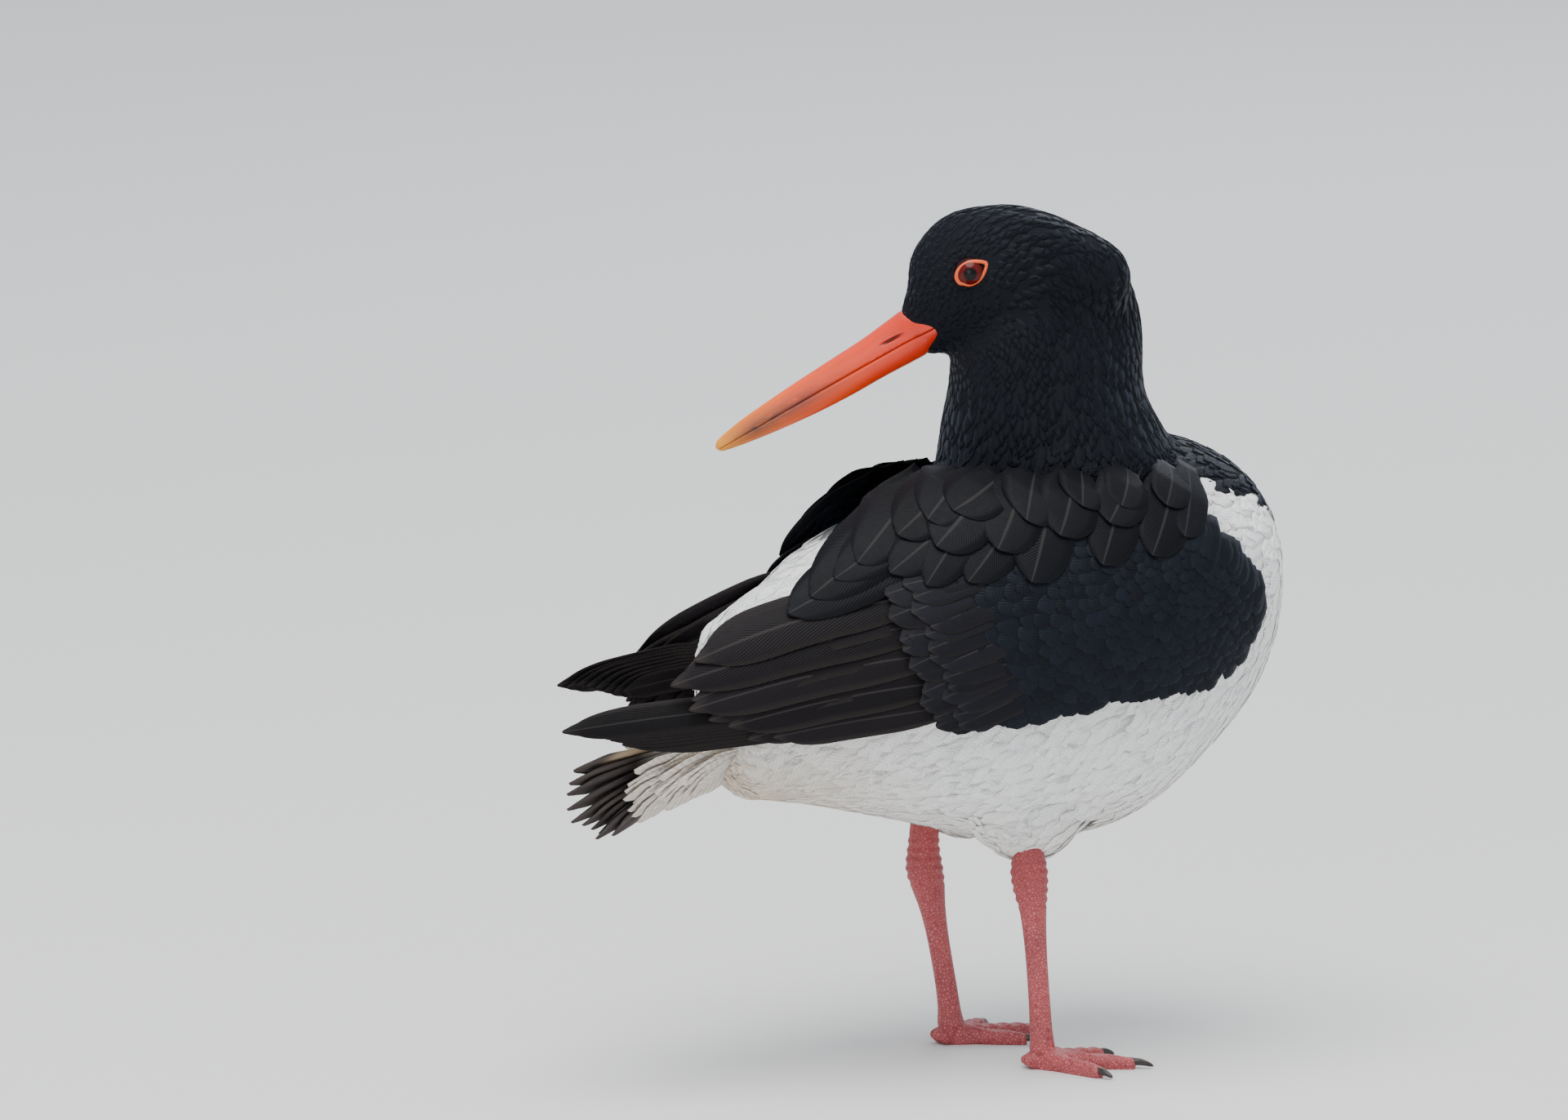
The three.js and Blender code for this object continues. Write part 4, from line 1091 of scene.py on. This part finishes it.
def eyeball(side, side_name):
    form = bmesh.new()
    bmesh.ops.create_uvsphere(form, u_segments=48, v_segments=32, radius=EYE_RADIUS)
    for vert in form.verts:
        x, y, z = vert.co
        bulge = 1 + 0.05 * max(0.0, 1 - math.hypot(x, y) / 3.6) if z > 0 else 1
        vert.co = head_point(EYE_PLACE * (1, side, 1) + [x, side * z * bulge, -side * y])
    eye = "eye_" + side_name
    solid_piece("eyeball_" + side_name, form, eye_material(side, eye), (eye,))


def eye_ring(side, side_name):
    form = bmesh.new()
    section = bmesh.ops.create_circle(form, segments=14, radius=RING_THICKNESS)["verts"]
    bmesh.ops.rotate(form, verts=section, cent=(0, 0, 0), matrix=Matrix.Rotation(math.pi / 2, 3, "X"))
    bmesh.ops.translate(form, verts=section, vec=(RING_RADIUS, 0, 0))
    bmesh.ops.spin(form, geom=form.verts[:] + form.edges[:], cent=(0, 0, 0), axis=(0, 0, 1),
                   angle=2 * math.pi, steps=64, use_merge=True, use_duplicate=False)
    for vert in form.verts:
        x, y, z = vert.co
        turn = math.atan2(y, x)
        rear = max(0.0, -math.cos(turn)) ** 6
        x = x * 1.12 - 1.3 * rear
        y = y * (0.85 - 0.12 * rear) + 0.45 * math.exp(-((turn + 0.75) / 0.22) ** 2)
        z = z * 0.9 - 0.03 * math.hypot(x, y) ** 2 + 0.45
        vert.co = head_point(EYE_PLACE * (1, side, 1) + [x, side * (RING_OUT + z), y])
    solid_piece("eye_skin_" + side_name, form, ring_skin, ("eye_ring_" + side_name,))


ring_skin = ring_material()
for side, side_name in ((1, "left"), (-1, "right")):
    eyeball(side, side_name)
    eye_ring(side, side_name)

# Legs and feet: bare scaled skin over bone and tendon, swollen at the joints, with three short front
# toes on flat pads. The scales are small plates raised from the surface, paler than the creases.
# Each leg has its sections from the sole up, its foot's place, and each toe's turn, length and half width.
LEGS = {
    "right": ([
        [4, 0, 0, 4.6, 4.6, 4.6], [10, 0, -0.4, 3.7, 3.8, 3.8], [22, 0, -1.2, 3.2, 3.5, 3.5],
        [38, 0, -2.4, 3.2, 3.6, 3.6], [50, 0, -3.4, 3.7, 4.3, 4.3], [58, 0, -4.2, 4.8, 5.4, 5.8],
        [64, 0, -4.7, 5.2, 5.8, 6.2], [70, 0, -5, 4.6, 5, 5], [80, 0, -5, 4.2, 4.4, 4.4]],
        (-2.5, -27), ((12, 27, 2.6), (-28, 33, 3), (-68, 28, 2.6))),
    "left": ([
        [4, 0, 0, 4.6, 4.6, 4.6], [10, 0, -0.7, 3.7, 3.8, 3.8], [20, 0, -2.2, 3.2, 3.5, 3.5],
        [34, 0, -4.8, 3.2, 3.6, 3.6], [44, 0, -6.8, 3.7, 4.3, 4.3], [52, 0, -8.4, 4.8, 5.4, 5.8],
        [58, 0, -9.6, 5.2, 5.8, 6.2], [66, 0, -10, 4.6, 5, 5], [80, 0, -9, 4.2, 4.4, 4.4]],
        (-11.5, 21), ((-32, 27, 2.6), (4, 33, 3), (42, 28, 2.6))),
}
TOE_HEIGHT = 2.7
LEG_VOXEL = 0.00042
SCALE_COLOURS = [(0.0, (0.24, 0.028, 0.030)), (0.12, (0.42, 0.075, 0.080)), (0.5, (0.58, 0.16, 0.165))]
SHANK_TINT = (0.26, 0.022, 0.020, 1)
CLAW_COLOURS = [(0.3, (0.010, 0.008, 0.008)), (0.75, (0.05, 0.035, 0.03))]


def toe_sections(length, half):
    top = TOE_HEIGHT
    return [
        [-7, 0, top, half, top, 3.4], [3, 0, top, half + 0.4, top + 0.9, 3.4],
        [length * 0.34, 0, top - 0.2, half, top - 0.1, 3.4],
        [length * 0.62, 0, top - 0.4, half - 0.2, top - 0.6, 3.4],
        [length * 0.84, 0, top - 0.7, half - 0.7, top - 1, 3.2],
        [length * 0.9, 0, top - 0.9, half - 1, top - 1.2, 3]]


def claw_sections(length):
    return [
        [length * 0.8, 0, 2.3, 1.1, 1.1, 1.1], [length * 0.92, 0, 2.2, 1.2, 1.2, 1.2],
        [length, 0, 1.7, 0.9, 0.9, 0.9], [length * 1.07, 0, 0.9, 0.5, 0.5, 0.5]]


def toward(angle, foot):
    """Turns points that run along X to a toe's way and sets them at the foot."""
    cosine, sine = math.cos(math.radians(angle)), math.sin(math.radians(angle))

    def place(points):
        x, y, z = points.T
        return np.stack([x * cosine - y * sine + foot[0], x * sine + y * cosine + foot[1], z], axis=1)
    return place


def leg_material():
    material, nodes, shader = new_material("leg_scales", {"Roughness": 0.55})
    place = object_place(nodes)
    cells = add_node(nodes, "ShaderNodeTexVoronoi", {"Vector": place, "Scale": 980},
                     feature="DISTANCE_TO_EDGE").outputs["Distance"]
    split = add_node(nodes, "ShaderNodeSeparateXYZ", {"Vector": place})
    high = ranged(nodes, split.outputs["Z"], 0.045, 0.075, 0, 0.55)
    colour = blend(nodes, high, ramp(nodes, cells, SCALE_COLOURS), SHANK_TINT)
    colour, _ = mottled(nodes, colour, place, 90, 4, 0.7, 1.2)
    link(colour, shader.inputs["Base Color"])
    link(bump_on(nodes, cells, 0.7, 0.0004), shader.inputs["Normal"])
    return material


def claw_material():
    material, nodes, shader = new_material("claw_horn", {"Roughness": 0.3})
    noise = noise_at(nodes, object_place(nodes), 700)
    link(ramp(nodes, noise, CLAW_COLOURS), shader.inputs["Base Color"])
    link(bump_on(nodes, noise, 0.3, 0.0002), shader.inputs["Normal"])
    return material


def leg_form(sections, foot, toes):
    """Shank, toes and the small webs between their roots, as overlapping forms."""
    form = bmesh.new()
    moved = [[s[0], -foot[1], s[2] + foot[0], s[3], s[4], s[5]] for s in sections]
    add_loft(form, moved, 40, 60, (0.06, 0.06), place=upright)
    for angle, length, half in toes:
        add_loft(form, toe_sections(length, half), 28, 40, (0.16, 0.14), square=2.4,
                 place=toward(angle, foot))
    for (first, _, _), (second, _, _) in zip(toes, toes[1:]):
        web = bmesh.ops.create_uvsphere(form, u_segments=24, v_segments=16, radius=1.0)["verts"]
        points = np.array([v.co[:] for v in web]) * [9, 4.5, 2.6] + [5, 0, 0.6]
        for vert, point in zip(web, toward((first + second) / 2, foot)(points)):
            vert.co = point
    return form


def wrinkle(mesh):
    """Low folds over the knuckles and the joint. The sole stays flat on the ground."""
    skin_form = bmesh.new()
    skin_form.from_mesh(mesh)
    for vert in skin_form.verts:
        x, y, z = np.array(vert.co) * 1000 - shift
        knuckle = 0.18 * math.sin(x * 1.1 + y * 0.8) * smooth(z, 0.8, 2.0) * (1 - smooth(z, 9, 12))
        joint = 0.22 * math.sin(z * 2.1) * smooth(z, 50, 54) * (1 - smooth(z, 66, 70))
        vert.co += vert.normal * float(knuckle + joint) / 1000
        vert.co.z = max(vert.co.z, 0.0)
    skin_form.to_mesh(mesh)
    skin_form.free()


scaled_skin = leg_material()
claw_horn = claw_material()
for side_name, (sections, foot, toes) in LEGS.items():
    leg = new_piece("leg_" + side_name, leg_form(sections, foot, toes))
    merge_forms(leg, LEG_VOXEL, 6)
    wrinkle(leg.data)
    leg.data.shade_smooth()
    finish_piece(leg, scaled_skin, ("shank_" + side_name, "foot_" + side_name))
    for (angle, length, _), toe in zip(toes, ("inner", "middle", "outer")):
        form = bmesh.new()
        add_loft(form, claw_sections(length), 16, 20, (0.2, 0.2), place=toward(angle, foot))
        toe_name = "%s_%s" % (side_name, toe)
        solid_piece("claw_horn_" + toe_name, form, claw_horn, ("claw_" + toe_name,))

# Plain pale floor, soft even light from above like an overcast sky, and a long lens from some way off.
# The body's own middle stands at one column of the framed picture and the ground at one row.
PICTURE = (1920, 1372)
CAMERA_DISTANCE = 6.0
SENSOR = 36
FLOOR_SIZE = 20
back_way = Vector((math.sin(CAMERA_AZIMUTH) * math.cos(CAMERA_HEIGHT),
                   -math.cos(CAMERA_AZIMUTH) * math.cos(CAMERA_HEIGHT), math.sin(CAMERA_HEIGHT)))
right_way = Vector((math.cos(CAMERA_AZIMUTH), math.sin(CAMERA_AZIMUTH), 0))
up_way = back_way.cross(right_way)
centre = Vector(metres([0, 0, 0])) + (right_way * (PICTURE[0] / 2 - BODY_COLUMN)
                                      + up_way * (FLOOR_ROW - PICTURE[1] / 2)) * (MM_PER_PIXEL / 1000)
camera_data = bpy.data.cameras.new("camera")
camera_data.sensor_width = SENSOR
camera_data.lens = SENSOR * CAMERA_DISTANCE / (PICTURE[0] * MM_PER_PIXEL / 1000)
camera_data.clip_end = 100
camera = bpy.data.objects.new("camera", camera_data)
turned = Matrix((right_way, up_way, back_way)).transposed().to_4x4()
turned.translation = centre + back_way * CAMERA_DISTANCE
camera.matrix_world = turned
scene.collection.objects.link(camera)
scene.camera = camera

floor_form = bmesh.new()
bmesh.ops.create_grid(floor_form, x_segments=1, y_segments=1, size=FLOOR_SIZE)
floor_mesh = bpy.data.meshes.new("floor")
floor_form.to_mesh(floor_mesh)
floor_form.free()
floor_paint, _, _ = new_material("floor_paint", {"Base Color": (0.74, 0.735, 0.72, 1), "Roughness": 0.9})
floor_mesh.materials.append(floor_paint)
floor = bpy.data.objects.new("floor", floor_mesh)
scene.collection.objects.link(floor)

world = bpy.data.worlds.new("sky")
world.use_nodes = True
sky = world.node_tree.nodes["Background"]
sky.inputs["Color"].default_value = (0.86, 0.92, 1.0, 1)
sky.inputs["Strength"].default_value = 0.85
scene.world = world


def soft_light(name, place, size, power, colour, aim=(0, 0, 0.15)):
    data = bpy.data.lights.new(name, "AREA")
    data.shape = "DISK"
    data.size = size
    data.energy = power
    data.color = colour
    made = bpy.data.objects.new(name, data)
    turn = (Vector(place) - Vector(aim)).to_track_quat("Z", "Y").to_matrix().to_4x4()
    made.matrix_world = Matrix.Translation(place) @ turn
    scene.collection.objects.link(made)


soft_light("sky_above", (-0.4, -0.5, 2.4), 2.2, 80, (1.0, 0.98, 0.95))
soft_light("sky_front", (-1.6, -2.0, 0.9), 1.6, 14, (0.95, 0.97, 1.0))
soft_light("sky_back", (1.4, 1.6, 1.3), 1.4, 12, (0.92, 0.96, 1.0))
